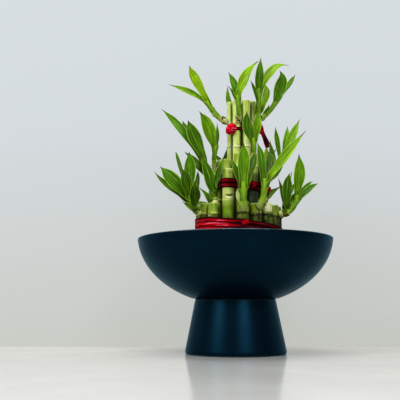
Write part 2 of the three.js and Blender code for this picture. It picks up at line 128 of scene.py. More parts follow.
class Ink:
    # what the materials and the shared effects do with a node tree; in the dictionaries below a "drift" is
    # a scale, a hue and a depth, and a "rough" is the scale of a mottle, its low and its high
    def __init__(self, tree):
        self.tree = tree

    def node(self, kind, **settings):
        node = self.tree.nodes.new(kind)
        for key, value in settings.items():
            setattr(node, key, value)
        return node

    def fill(self, socket, value):  # with another node's socket, a number or a colour
        if isinstance(value, bpy.types.NodeSocket):
            self.tree.links.new(value, socket)
        else:
            socket.default_value = value

    def feed(self, node, **values):  # fills sockets by name
        for key, value in values.items():
            self.fill(node.inputs[key.replace("_", " ")], value)
        return node

    def maths(self, operation, a, b=0.0, clamp=False):
        node = self.node("ShaderNodeMath", operation=operation, use_clamp=clamp)
        self.fill(node.inputs[0], a)
        self.fill(node.inputs[1], b)
        return node.outputs[0]

    def times(self, a, b, clamp=False):
        return self.maths("MULTIPLY", a, b, clamp)

    def plus(self, a, b, clamp=False):
        return self.maths("ADD", a, b, clamp)

    def minus(self, a, b, clamp=False):
        return self.maths("SUBTRACT", a, b, clamp)

    def rise(self, value, start, gain):  # a mask that grows from a start on
        return self.times(self.minus(value, start), gain, clamp=True)

    def mark(self, name):  # a value that the mesh holds at its points
        return self.node("ShaderNodeAttribute", attribute_name=name).outputs["Fac"]

    def layers(self, colour, *layers):
        # lays colours over a first one, each by a mask or a named point value, and perhaps a share of it
        for mask, top, *share in layers:
            mask = self.mark(mask) if isinstance(mask, str) else mask
            node = self.node("ShaderNodeMix", data_type="RGBA", clamp_factor=True)
            self.fill(node.inputs[0], self.times(mask, share[0]) if share else mask)
            self.fill(node.inputs[6], colour)
            self.fill(node.inputs[7], top)
            colour = node.outputs[2]
        return colour

    def ramp(self, value, stops):
        node = self.node("ShaderNodeValToRGB")
        edges = node.color_ramp.elements
        while len(edges) < len(stops):
            edges.new(0.5)
        for edge, (place, colour) in zip(edges, stops):
            edge.position = place
            edge.color = colour
        self.fill(node.inputs[0], value)
        return node.outputs[0]

    def fade(self, value, low, high, start, end):  # a mask that goes from one share to another
        return self.ramp(value, [(low, (start, start, start, 1)), (high, (end, end, end, 1))])

    def where(self):
        return self.node("ShaderNodeTexCoord").outputs["Object"]

    def axes(self, vector):
        node = self.node("ShaderNodeSeparateXYZ")
        self.fill(node.inputs[0], vector)
        return node.outputs

    def cloud(self, scale, at=None, **settings):
        node = self.node("ShaderNodeTexNoise")
        self.feed(node, Vector=self.where() if at is None else at, Scale=scale, **settings)
        return node.outputs["Fac"]

    def place(self, group, **values):
        node = self.node("ShaderNodeGroup", node_tree=group)
        return self.feed(node, **values).outputs[0]

    def mottle(self, scale, low=0.0, high=1.0):
        return self.place(softMottle, Scale=scale, Low=low, High=high)

    def drift(self, colour, scale, hue, depth):
        return self.place(colourDrift, Color=colour, Scale=scale, Hue=hue, Depth=depth)

    def grain(self, scale, stretch):
        return self.place(fineGrain, Scale=scale, Stretch=stretch)

    def dust(self, amount, scale):
        return self.place(settledDust, Amount=amount, Scale=scale)

    def surface(self, **values):
        self.feed(self.tree.nodes["Principled BSDF"], **values)

    def relief(self, height, strength, distance):
        node = self.node("ShaderNodeBump")
        self.feed(node, Height=height, Strength=strength, Distance=distance)
        self.surface(Normal=node.outputs[0])


def newGroup(name, output, **inputs):
    # an empty effect: its ink, its inputs by name and the socket of its one output
    group = bpy.data.node_groups.new(name, "ShaderNodeTree")

    def addSocket(label, side):
        kind = "NodeSocketColor" if label == "Color" else "NodeSocketFloat"
        return group.interface.new_socket(label, in_out=side, socket_type=kind)

    for label, value in inputs.items():
        addSocket(label, "INPUT").default_value = value
    addSocket(output, "OUTPUT")
    ink = Ink(group)
    return ink, ink.node("NodeGroupInput").outputs, ink.node("NodeGroupOutput").inputs[0]


def makeMottle():
    # soft clouds between two values, for roughness and for masks
    ink, given, out = newGroup("softMottle", "Value", Scale=40.0, Low=0.0, High=1.0)
    spread = ink.node("ShaderNodeMapRange")
    cloud = ink.cloud(given["Scale"], Detail=5.0, Roughness=0.55)
    ink.feed(spread, Value=cloud, From_Min=0.3, From_Max=0.7, To_Min=given["Low"], To_Max=given["High"])
    ink.fill(out, spread.outputs[0])
    return ink.tree


def makeDrift():
    # drifts a colour's hue and depth over the surface
    ink, given, out = newGroup("colourDrift", "Color", Color=(1, 1, 1, 1), Scale=60.0, Hue=0.02, Depth=0.3)
    offset = ink.minus(ink.cloud(given["Scale"], Detail=4.0), 0.5)
    hue = ink.plus(ink.times(offset, given["Hue"]), 0.5)
    depth = ink.plus(ink.times(offset, given["Depth"]), 1.0)
    tint = ink.feed(ink.node("ShaderNodeHueSaturation"), Hue=hue, Value=depth, Color=given["Color"])
    ink.fill(out, tint.outputs[0])
    return ink.tree


def makeGrain():
    # fine streaks, as a height, drawn out along Z by the stretch given
    ink, given, out = newGroup("fineGrain", "Height", Scale=900.0, Stretch=0.05)
    stretch = ink.feed(ink.node("ShaderNodeCombineXYZ"), X=1.0, Y=1.0, Z=given["Stretch"])
    scaled = ink.node("ShaderNodeVectorMath", operation="MULTIPLY")
    ink.fill(scaled.inputs[0], ink.where())
    ink.fill(scaled.inputs[1], stretch.outputs[0])
    ink.fill(out, ink.cloud(given["Scale"], scaled.outputs[0], Detail=3.0))
    return ink.tree


def makeDust():
    # a mask of what settles on surfaces that face up
    ink, given, out = newGroup("settledDust", "Mask", Amount=0.3, Scale=90.0)
    facing = ink.axes(ink.node("ShaderNodeNewGeometry").outputs["Normal"])["Z"]
    cloud = ink.cloud(given["Scale"], Detail=6.0, Roughness=0.7)
    ink.fill(out, ink.times(ink.times(facing, given["Amount"], clamp=True), cloud))
    return ink.tree


softMottle, colourDrift, fineGrain, settledDust = makeMottle(), makeDrift(), makeGrain(), makeDust()
print("shared effects ready")


def newMaterial(name, **constants):
    material = bpy.data.materials.new(name)
    material.use_nodes = True
    ink = Ink(material.node_tree)
    ink.surface(**constants)
    return material, ink


# Bowl and foot
pot = {
    "rimRadius": 100.0,
    "rimHeight": 115.4,
    "base": 55.0,
    "baseRadius": 43.7,
    "floor": 59.2,
    "wall": 2.0,
    "bulge": 119.4,
    "footTop": 40.7,
    "footBase": 51.6,
    "footWall": 3.0,
    "footFlange": 5.5,
    "footEdge": 3.0,
    "footShoulder": 1.2,
    "bowlWear": [(115.4, 90, 0.8)],  # edges that have lost some coat: height, least radius, how much
    # on the foot the first entry is a faint painted highlight along the seam under the bowl, the second real
    # wear at its bottom edge
    "footWearAndSeamHighlight": [(53.9, 39, 0.2), (0.4, 49, 0.5)],
    "coat": srgb(4, 33, 47),
    "coatWorn": srgb(18, 42, 50),
    "coatSheen": (0.44, 0.72, 0.88, 1.0),
    "bareEdgeAndSeamHighlight": srgb(112, 124, 126),
    "drift": (30.0, 0.02, 0.35),
    "rough": (200.0, 0.295, 0.37),
    "chipsAndSeamHighlight": (220.0, 0.35, 1.1),
    "dust": (0.35, 140.0),
    "bowlSides": 200,
    "footSides": 160,
    "outerRows": 60,
    "innerRows": 48,
    "flatRows": 12,
}


def makeCoat():
    material, ink = newMaterial("darkCoat", Metallic=0.6, Specular_Tint=pot["coatSheen"])
    # the bare-edge colour paints real wear at the rims and a faint painted highlight along the foot's seam
    chipsAndSeamHighlight = ink.times(ink.mottle(*pot["chipsAndSeamHighlight"]), ink.mark("worn"), clamp=True)
    coat, dust = ink.drift(pot["coat"], *pot["drift"]), ink.dust(*pot["dust"])
    colour = ink.layers(coat, (dust, pot["coatWorn"]), (chipsAndSeamHighlight, pot["bareEdgeAndSeamHighlight"]))
    ink.surface(Base_Color=colour, Roughness=ink.mottle(*pot["rough"]), Specular_IOR_Level=0.12)
    ink.relief(ink.cloud(1400.0), 0.12, 0.0002)
    return material


def bowlCurve(angle, inset):
    across = pot["rimRadius"] * 1.0016
    share = sqrt(1 - (pot["baseRadius"] / across) ** 2)
    deep = (pot["bulge"] - pot["base"]) / share - inset
    return (across - inset) * cos(angle), pot["bulge"] - deep * sin(angle)


def bowlAngle(height, inset):
    deep = pot["bulge"] - bowlCurve(pi / 2, inset)[1]
    return asin((pot["bulge"] - height) / deep)


def bowlArc(start, end, inset, steps):
    a, b = bowlAngle(start, inset), bowlAngle(end, inset)
    return [bowlCurve(mix(a, b, i / steps), inset) for i in range(steps + 1)]


def arcPoints(cx, cz, radius, start, end, steps):
    angles = [radians(mix(start, end, i / steps)) for i in range(steps + 1)]
    return [(cx + radius * cos(a), cz + radius * sin(a)) for a in angles]


def turned(shape, outline, sides, worn=()):
    # spins an outline of radius and height pairs round Z; ends on the axis are closed with a fan
    rows, values = [], []
    for r, z in outline:
        if r > 1e-6:
            # bare carries edge wear, and along the foot's seam a painted highlight
            bare = max((loss * hump(z - at, 0.6) for at, low, loss in worn if r > low), default=0.0)
            rows.append([(*polar(r, a), z) for a in around(sides)])
            values.append([{"worn": bare}] * sides)
    first, last = shape.grid(rows, values)
    if outline[0][0] < 1e-6:
        shape.cap(first, sides, (0, 0, outline[0][1]), flip=True)
    if outline[-1][0] < 1e-6:
        shape.cap(last, sides, (0, 0, outline[-1][1]))


def buildPot(coat):
    base, lip = pot["base"], pot["wall"] / 2
    high = pot["rimHeight"] - lip
    outside = bowlArc(base, high, 0, pot["outerRows"])
    inside = bowlArc(high, pot["floor"], pot["wall"], pot["innerRows"])
    rim = arcPoints(outside[-1][0] - lip, high, lip, 15, 165, 10)
    shares = [i / pot["flatRows"] for i in range(pot["flatRows"])]
    under = [(outside[0][0] * share, base) for share in shares]
    bottom = [(inside[-1][0] * share, pot["floor"]) for share in shares[::-1]]
    bowl = Shape()
    turned(bowl, under + outside + rim + inside + bottom, pot["bowlSides"], pot["bowlWear"])
    bowl.piece("bowlShell", ["bowl"], coat)

    def wide(z):  # the foot's radius at a height
        return pot["footBase"] - (pot["footBase"] - pot["footTop"]) / base * z

    ceiling, edge, shoulder = base - pot["footWall"], pot["footEdge"], pot["footShoulder"]
    mouth, rounding = wide(0) - pot["footFlange"], pot["footEdge"] * 0.6
    outline = [(mouth, 0), (wide(0) - rounding, 0)]
    for i in range(1, 9):
        a = radians(90 * i / 8)
        outline.append((wide(edge) - rounding + rounding * sin(a), edge * (1 - cos(a)) * 0.95))
    outline += [(wide(z), z) for z in (mix(edge, base - shoulder, i / 24) for i in range(25))]
    outline += arcPoints(wide(base - 1) - shoulder, base - shoulder, shoulder, 10, 90, 8)
    outline += [(r, base) for r in (38, 20, 0)]
    foot = Shape()
    turned(foot, outline, pot["footSides"], pot["footWearAndSeamHighlight"])
    hollow = [(r, ceiling) for r in (0, 20, wide(ceiling) - pot["footWall"] - 1)]
    hollow += [(wide(z) - pot["footWall"], z) for z in (ceiling - 1, 40, 28, 16, 4)]
    turned(foot, hollow + [(mouth, 1.5), (mouth, 0)], pot["footSides"])
    foot.piece("footShell", ["foot"], coat)
    print("bowl and foot built")


# Canes. "uneven" and "draw" vary the tops, "rings" lie this far under a top, and other canes hide what is
# below "bare". The leader's bud scar has a height and an angle of its own.
canePlan = {
    "lower": {"x": 4.0, "y": 0.0, "radius": 38.2, "top": 150.0,
              "uneven": 3.0, "draw": 2, "rings": [11], "bare": 95},
    "middle": {"x": 8.0, "y": 0.0, "radius": 21.8, "cane": 5.7, "count": 10, "first": -10,
               "top": 202.0, "uneven": 6.0, "draw": 7, "rings": [14, 42], "bare": 145},
    "upper": {"x": 8.0, "y": 0.0, "radius": 11.2, "cane": 4.5, "count": 7, "first": -80,
              "top": 262.0, "uneven": 1.5, "draw": 4, "rings": [24, 50], "bare": 190},
    "leader": {"x": -7.1, "y": -28.6, "r": 6.6, "top": 183.5, "nodes": [153.5], "bare": 100,
               "eyes": [(155.7, 2)], "bud": (3.8, 1.0, 1.0), "paleRing": -2.3, "sides": 96},
    "core": {"x": 8.0, "y": 0.0, "r": 5.9, "top": 261.5, "nodes": [238.0], "bare": 225},
    "frontCane": 6.3,
    "backCane": 7.2,
    "frontAngles": [-83, -63, -43, 3, 23, 43, 63, 83],
    "backCount": 7,
    "backStep": 24.25,
    "backTaller": 2.0,
    "ridge": 0.45,
    "bud": (3.2, 0.5, 0.5),  # a bud scar's width, the depth of its dark line and how much it stands out
    "sides": 48,
    "cutEnd": (  # rings of a cut end: share of the radius, drop below the top, how green
        (0.97, 0.35, 0.1), (0.92, 0.08, 0.3), (0.84, 0.0, 0.8),
        (0.7, 0.12, 0.1), (0.4, 0.3, 0.0), (0.12, 0.35, 0.25),
    ),
    "dull": "cane_upper_3",  # the most shaded one
    "husked": "cane_lower_6",  # this one keeps a cream husk at its top
    "inShadow": "cane_middle_2",  # this one gets painted shadow, as it sits in deep shade behind the front shoots
    "shadowBands": ((148.0, 164.0, 0.93), (171.0, 179.0, 0.7)),  # the painted shadow's lower and upper ends, and how dark it is
    "budScar": srgb(16, 12, 4),
    "budLip": srgb(226, 228, 176),
    "creviceShade": srgb(20, 28, 4),
    "vivid": srgb(108, 142, 0),
    "blotch": srgb(88, 66, 26),
    "deepShadow": srgb(16, 40, 26),
    "stain": srgb(38, 30, 12),  # brown dirt round the old rings; just above the lower ribbon it is partly dirt and partly painted shadow
    "wood": srgb(206, 205, 150),
    "rind": srgb(132, 150, 66),
    "drift": (110.0, 0.03, 0.5),
    "rough": (200.0, 0.3, 0.5),
    "streaks": (420.0, 0.05),
    "blotches": (150.0, -0.6, 0.8),
    "dirt": (420.0, 0.55, 1.25),
}
caneLooks = {  # skin, its pale streaks, the scars of its rings, its shaded canes
    "lower": (srgb(116, 146, 6), srgb(190, 202, 84), srgb(58, 34, 12), srgb(72, 112, 2)),
    "middle": (srgb(126, 150, 24), srgb(204, 212, 128), srgb(80, 58, 24), srgb(100, 122, 28)),
    "upper": (srgb(192, 210, 106), srgb(228, 234, 172), srgb(150, 136, 62), srgb(158, 178, 60)),
}


def caneAt(ring, i, degrees, r, taller=0.0):
    x, y = polar(ring["radius"], radians(degrees), ring["x"], ring["y"])
    top = ring["top"] - ring["uneven"] * scatter(i, ring["draw"]) + taller
    nodes = [top - down for down in ring["rings"]]
    return {"x": x, "y": y, "r": r, "top": top, "nodes": nodes, "bare": ring["bare"]}


def lowerCanes():
    ring, front = canePlan["lower"], canePlan["frontAngles"]
    canes = [caneAt(ring, i, angle, canePlan["frontCane"]) for i, angle in enumerate(front)]
    for i in range(canePlan["backCount"]):  # thicker ones close the ring at the back
        angle = front[-1] + canePlan["backStep"] * (i + 1)
        canes.append(caneAt(ring, i + len(front), angle, canePlan["backCane"], canePlan["backTaller"]))
    return canes


def evenCanes(ring):
    angles = [ring["first"] + i * 360 / ring["count"] for i in range(ring["count"])]
    return [caneAt(ring, i, angle, ring["cane"]) for i, angle in enumerate(angles)]


leader = canePlan["leader"]
lower = lowerCanes()
middle = evenCanes(canePlan["middle"])
upper = evenCanes(canePlan["upper"]) + [canePlan["core"]]


def makeCaneMaterial(tier):
    skin, pale, scar, shaded = caneLooks[tier]
    material, ink = newMaterial(tier + "Cane", Coat_Weight=0.05, Coat_Roughness=0.25)
    streaks = ink.grain(*canePlan["streaks"])
    aged = ink.times(ink.mottle(*canePlan["blotches"]), ink.mark("aged"), clamp=True)
    # dirt, and painted shadow just above the lower ribbon
    dirt = ink.times(ink.mottle(*canePlan["dirt"]), ink.mark("stain"), clamp=True)
    colour = ink.layers(
        ink.drift(skin, *canePlan["drift"]),
        ("shade", shaded, 0.55),
        (ink.rise(streaks, 0.45, 2.4), pale),
        ("vivid", canePlan["vivid"]),
        ("waxy", pale),
        ("scar", scar),
        ("lip", canePlan["budLip"]),
        ("bud", canePlan["budScar"]),
        (aged, canePlan["blotch"]),
        # painted shade between the canes
        ("gap", canePlan["creviceShade"], 0.88),
        (dirt, canePlan["stain"]),
        ("remains", canePlan["deepShadow"]),
        ("cut", ink.layers(canePlan["wood"], ("rind", canePlan["rind"]))),
    )
    rough = ink.plus(ink.mottle(*canePlan["rough"]), ink.times(dirt, 0.35))
    ink.surface(Base_Color=colour, Roughness=rough, Specular_IOR_Level=0.26)
    ink.surface(Subsurface_Weight=0.05, Subsurface_Radius=(0.002, 0.003, 0.001))
    ink.relief(streaks, 0.25, 0.0003)
    return material


def caneHeights(cane):
    # rows up the cane: sparse where other canes hide it, dense round its rings
    heights = [pot["floor"] + 0.01]
    z = pot["floor"] + 6
    while z < cane["top"] - 1.0:
        heights.append(z)
        near = min(abs(z - n) for n in cane["nodes"])
        z += 6.0 if z < cane["bare"] else 0.35 if near < 3.2 else 1.6
    return heights + [cane["top"] - 0.7]


def caneRadius(cane, z, a):
    r = cane["r"] - 0.06
    for n in cane["nodes"]:
        r += canePlan["ridge"] * 0.9 * hump(z - n + 0.3, 0.75)
        r -= 0.16 * hump(z - n - 1.5, 0.4) + 0.16 * hump(z - n - 9, 6.0)
    return r + 0.05 * sin(2 * a + cane["seed"]) + 0.03 * sin(5 * a + 0.2 * z)


def budMarks(cane, z, a):
    # a bud scar on each ring: a raised lens, a dark crescent and a pale lip under it
    width, depth, stands = cane.get("bud", canePlan["bud"])
    bulge, crescent, lip = 0.0, 0.0, 0.0
    for height, side in cane["eyes"]:
        u = ((a - radians(side) + pi) % (2 * pi) - pi) * cane["r"] / width
        v = (z - height - 1.0 - 0.35 * u * u) / 1.5
        bulge += 0.35 * stands * exp(-(u * u + v * v) * 1.4)
        crescent = max(crescent, exp(-((u / 1.1) ** 4)) * hump(z - height - 0.2 - 0.9 * u * u, depth))
        lip = max(lip, exp(-(u ** 4)) * hump(z - height + 1.7 - 0.7 * u * u, 0.8))
    return bulge, crescent, lip


def skinMarks(cane, z, a, crescent, lip):
    # where a cane is scarred, waxy or dirty, and where painted shade darkens it: just above the lower ribbon,
    # on the side that faces its neighbours and on the cane that sits in deep shade
    tier, x, below = cane["tier"], cane["x"], cane["top"] - z
    near = min((z - n - cane.get("paleRing", 0.0) for n in cane["nodes"]), key=abs)
    patch = noise.noise(Vector((3 * sin(a), 3 * cos(a), cane["seed"])))
    onRight = smooth(-6, 6, x)
    wide = 0.4 + max(0.0, patch) * (1.3 if tier == "lower" else 0.3)
    scar = hump(near + 0.9, wide) * (0.75 + 0.5 * patch)
    waxy = 0.75 * hump(near - 0.9, 1.0) + 0.25 * smooth(9, 1, abs(near))
    outwards = sin(a) * cane["outward"][0] - cos(a) * cane["outward"][1]
    dirt, vivid, remains = 0.0, 0.0, 0.0
    # the lower canes and the leader darken just above the lower ribbon: brown dirt mixed with painted shadow,
    # reaching higher towards the right
    if tier in ("lower", "leader"):
        band = ribbons["lower"]
        above = z - band["high"] + band["tilt"] * (x - canePlan["lower"]["x"])
        reach = 6.0 + 6.0 * smooth(0, 26, x)
        dirt = smooth(reach, reach - 6, above + 5 * patch) * (0.8 + 0.8 * patch)
        vivid = 0.9 * smooth(2, -2, near)
    if tier == "leader":
        waxy = max(waxy, 0.75 * smooth(1.5, 4.5, near) * smooth(17, 13, near))  # pale under the ribbon
        fold = below - 3.4 - 0.7 * cos(a - 0.6)  # the edge of an old husk near its top
        scar = max(scar, 0.8 * hump(fold, 0.55) * (0.7 + patch))
    if tier == "lower":
        rim = hump(near + 1.2, 1.3 + 1.4 * onRight + patch)
        blotch = noise.noise(Vector((1.5 * sin(a), 1.5 * cos(a), cane["seed"] + 0.3 * z)))
        spots = smooth(-0.06, 0.18, blotch) * smooth(3, -2, near) * smooth(8, 24, x)
        dirt = max(dirt, onRight * rim * (0.95 + 1.3 * patch), 1.2 * spots)
        waxy *= 1 - 0.8 * onRight * smooth(3, 0, abs(near))
        scar *= 0.45 + 0.55 * onRight
    if tier == "upper":
        dirt = 0.34 * smooth(7, 1, below) * (0.5 + patch)  # dries to olive under the cut
    # painted shadow on the cane that sits in deep shade behind the front shoots
    if cane["node"] == canePlan["inShadow"]:
        for first, last, depth in canePlan["shadowBands"]:
            covered = smooth(first - 2, first, z + patch) * smooth(last + 2, last, z + 3 * patch)
            remains = max(remains, depth * covered)
    if cane["node"] == canePlan["husked"]:
        lip = max(lip, 0.85 * smooth(1.5, 3.0, near))
    return {
        "scar": scar, "bud": crescent, "lip": lip, "waxy": waxy, "vivid": vivid, "remains": remains,
        "aged": (1 - smooth(95, 175, z)) * (1 + 1.4 * smooth(16, 34, x)),
        # gap: painted shade on the side that faces the neighbouring canes, less at the very top
        "gap": smooth(0.72, -0.05, outwards) * smooth(0.5, 6, below),
        "stain": max(0.0, dirt), "shade": cane["shade"],
    }


def buildCane(name, node, cane, tier, material, seed):
    ring = canePlan["middle" if tier == "leader" else tier]
    eyes = [(n, -90 + 360 * scatter(seed, 11 + k)) for k, n in enumerate(cane["nodes"])]
    cane = {"eyes": eyes, **cane, "node": node, "tier": tier, "seed": seed}
    cane["shade"] = 1.2 if node == canePlan["dull"] else scatter(seed, 31)
    cane["outward"] = Vector((cane["x"] - ring["x"], cane["y"] - ring["y"] - 0.001)).normalized()
    sides = cane.get("sides", canePlan["sides"])
    rows, values = [], []
    for z in caneHeights(cane):
        row, marks = [], []
        for a in around(sides):
            bulge, crescent, lip = budMarks(cane, z, a)
            row.append((*polar(caneRadius(cane, z, a) + bulge, a, cane["x"], cane["y"]), z))
            marks.append(skinMarks(cane, z, a, crescent, lip))
        rows.append(row)
        values.append(marks)
    # the cut end: rounded rim, rind, then pale wood that sinks a little
    top, tilt = cane["top"], 0.015 * (scatter(seed, 3) - 0.5)
    for share, drop, rind in canePlan["cutEnd"]:
        row = []
        for a in around(sides):
            r = caneRadius(cane, top - 1, a) * share
            x, y = r * sin(a), r * cos(a)
            z = top - drop - 0.1 + tilt * x + 0.05 * noise.noise(Vector((x, y, seed)))
            row.append((cane["x"] + x, cane["y"] - y, min(z, top - 0.02)))
        rows.append(row)
        values.append([{"cut": 1.0 if share < 0.95 else 0.8, "rind": rind, "shade": cane["shade"]}] * sides)
    shape = Shape()
    first, last = shape.grid(rows, values)
    shape.cap(last, sides, (cane["x"], cane["y"], top - 0.5), {"cut": 1.0, "rind": 0.4})
    shape.cap(first, sides, (cane["x"], cane["y"], pot["floor"] + 0.01), {"cut": 1.0}, flip=True)
    shape.piece(name, [node], material)


def buildCanes():
    looks = {tier: makeCaneMaterial(tier) for tier in caneLooks}
    for tier, group in (("lower", lower), ("middle", middle), ("upper", upper)):
        for i, cane in enumerate(group):
            node = f"cane_{tier}_{i + 1}"
            buildCane(f"{tier}Cane{i + 1}", node, cane, tier, looks[tier], len(node) * 7 + i * 3)
    buildCane("leaderCane", "cane_leader", leader, "leader", looks["middle"], 5)
    print("canes built")


# Pebbles
bed = {
    "level": 96.0,
    "rise": 4.6,
    "rows": 3,
    "round": 20,
    "hole": 45.6,
    "gap": 0.8,
    "sides": 160,
    "sunk": 1.2,  # how far the middles of the large stones lie under the level
    "gravel": (2.0, 3.6),
    "gravelCount": 300,
    "seed": 12,
    "tones": [srgb(196, 190, 176), srgb(150, 140, 124), srgb(104, 98, 90), srgb(222, 218, 210)],
    "vein": srgb(232, 228, 220),
    "dust": srgb(206, 200, 186),
    "grit": srgb(84, 78, 68),
    "drift": (260.0, 0.015, 0.45),
    "rough": (300.0, 0.35, 0.62),
    "dusty": (0.4, 200.0),
    "gritDrift": (300.0, 0.02, 0.9),
    "gritRough": (300.0, 0.6, 0.85),
    "bedRows": 24,
}


def makePebbleMaterial():
    material, ink = newMaterial("riverPebble", Coat_Weight=0.15, Coat_Roughness=0.2)
    tone = ink.ramp(ink.mark("tone"), [(i / 3, c) for i, c in enumerate(bed["tones"])])
    veins = ink.node("ShaderNodeTexVoronoi", feature="DISTANCE_TO_EDGE")
    ink.feed(veins, Vector=ink.where(), Scale=130.0)
    vein = (ink.maths("LESS_THAN", veins.outputs["Distance"], 0.025), bed["vein"], 0.35)
    colour = ink.layers(ink.drift(tone, *bed["drift"]), vein, (ink.dust(*bed["dusty"]), bed["dust"]))
    ink.surface(Base_Color=colour, Roughness=ink.mottle(*bed["rough"]))
    ink.relief(ink.mottle(2400.0), 0.2, 0.0002)
    return material


def makeGravelMaterial():
    material, ink = newMaterial("gravelShade")
    colour = ink.drift(bed["grit"], *bed["gritDrift"])
    ink.surface(Base_Color=colour, Roughness=ink.mottle(*bed["gritRough"]))
    ink.relief(ink.mottle(900.0), 0.8, 0.001)
    return material


def holeReach(a):  # from the bowl's middle to the hole that the canes stand in
    offset = canePlan["lower"]["x"]
    along = offset * sin(a)
    return along + sqrt(along ** 2 - offset ** 2 + bed["hole"] ** 2)


def unitBall(detail):
    ball = bmesh.new()
    bmesh.ops.create_icosphere(ball, subdivisions=detail, radius=1.0)
    points = [v.co.copy() for v in ball.verts]
    faces = [tuple(v.index for v in f.verts) for f in ball.faces]
    ball.free()
    return points, faces


def addStone(shape, ball, centre, half, spin, lean, tone, seed):
    # an uneven ellipsoid; spin turns it round Z, lean tips it
    start = len(shape.points)
    for p in ball[0]:
        lump = 1 + 0.14 * noise.noise(p * 1.2 + Vector((seed, seed * 0.37, 0)))
        lump += 0.03 * noise.noise(p * 4 + Vector((0, seed, 0)))
        q = Vector((p.x * half[0], p.y * half[1], p.z * half[2])) * lump
        q.z += q.x * lean
        x = q.x * cos(spin) - q.y * sin(spin)
        y = q.x * sin(spin) + q.y * cos(spin)
        shape.points.append((centre[0] + x, centre[1] + y, min(centre[2] + q.z, bed["level"] + bed["rise"])))
        shape.values.append({"tone": tone})
    shape.faces += [tuple(start + k for k in f) for f in ball[1]]


def buildPebbles():
    rand = random.Random(bed["seed"])
    level, count = bed["level"], bed["round"]
    wall = bowlArc(pot["floor"] + 0.3, level - 1.5, pot["wall"] + bed["gap"], 16)
    edge = wall[-1][0]
    angles = around(bed["sides"])
    rows = [[(*polar(r, a), z) for a in angles] for r, z in wall]
    for i in range(bed["bedRows"] + 1):
        places = [polar(mix(edge, holeReach(a), i / bed["bedRows"]), a) for a in angles]
        rows.append([(x, y, level + 0.6 * noise.noise(Vector((x, y, 0)) * 0.35)) for x, y in places])
    rows.append([(*polar(holeReach(a), a), wall[0][1]) for a in angles])
    shape = Shape()
    shape.grid(rows, closed=True)
    shape.piece("gravelBed", ["pebbles"], makeGravelMaterial())

    # large stones stand where the solid's own relief stands, small gravel fills the hollows
    stones = Shape()
    large, small = unitBall(4), unitBall(3)
    for row in range(bed["rows"]):
        for n in range(count):
            a = radians((3 * n + 1.5 - row) * 360 / (3 * count))
            step = (edge - holeReach(a)) / (3 * bed["rows"])
            r = edge - step * (3 * row + 1.5)
            long = radians(180 / count) * r * rand.uniform(0.86, 0.98)
            wide = 1.5 * step * rand.uniform(0.9, 1.0)
            rise = bed["rise"] * (0.6 + 0.4 * scatter(row, n))
            spin = a + rand.uniform(-0.16, 0.16)
            centre, half = (*polar(r, a), level - bed["sunk"]), (long, wide, rise + bed["sunk"])
            lean, tone = rand.uniform(-0.06, 0.06), rand.random()
            addStone(stones, large, centre, half, spin, lean, tone, row * count + n)
    for n in range(bed["gravelCount"]):
        a = rand.uniform(0, 2 * pi)
        size = rand.uniform(*bed["gravel"])
        near, far = holeReach(a) + size, edge - size * 0.5
        r = sqrt(rand.uniform(near ** 2, far ** 2))
        centre = (*polar(r, a), level + rand.uniform(-0.2, 0.7))
        half = (size, size * rand.uniform(0.7, 0.9), size * rand.uniform(0.5, 0.65))
        spin, lean, tone = rand.uniform(0, pi), rand.uniform(-0.2, 0.2), rand.random()
        addStone(stones, small, centre, half, spin, lean, tone, n)
    stones.piece("looseStones", ["pebbles"], makePebbleMaterial())
    print("pebbles laid")


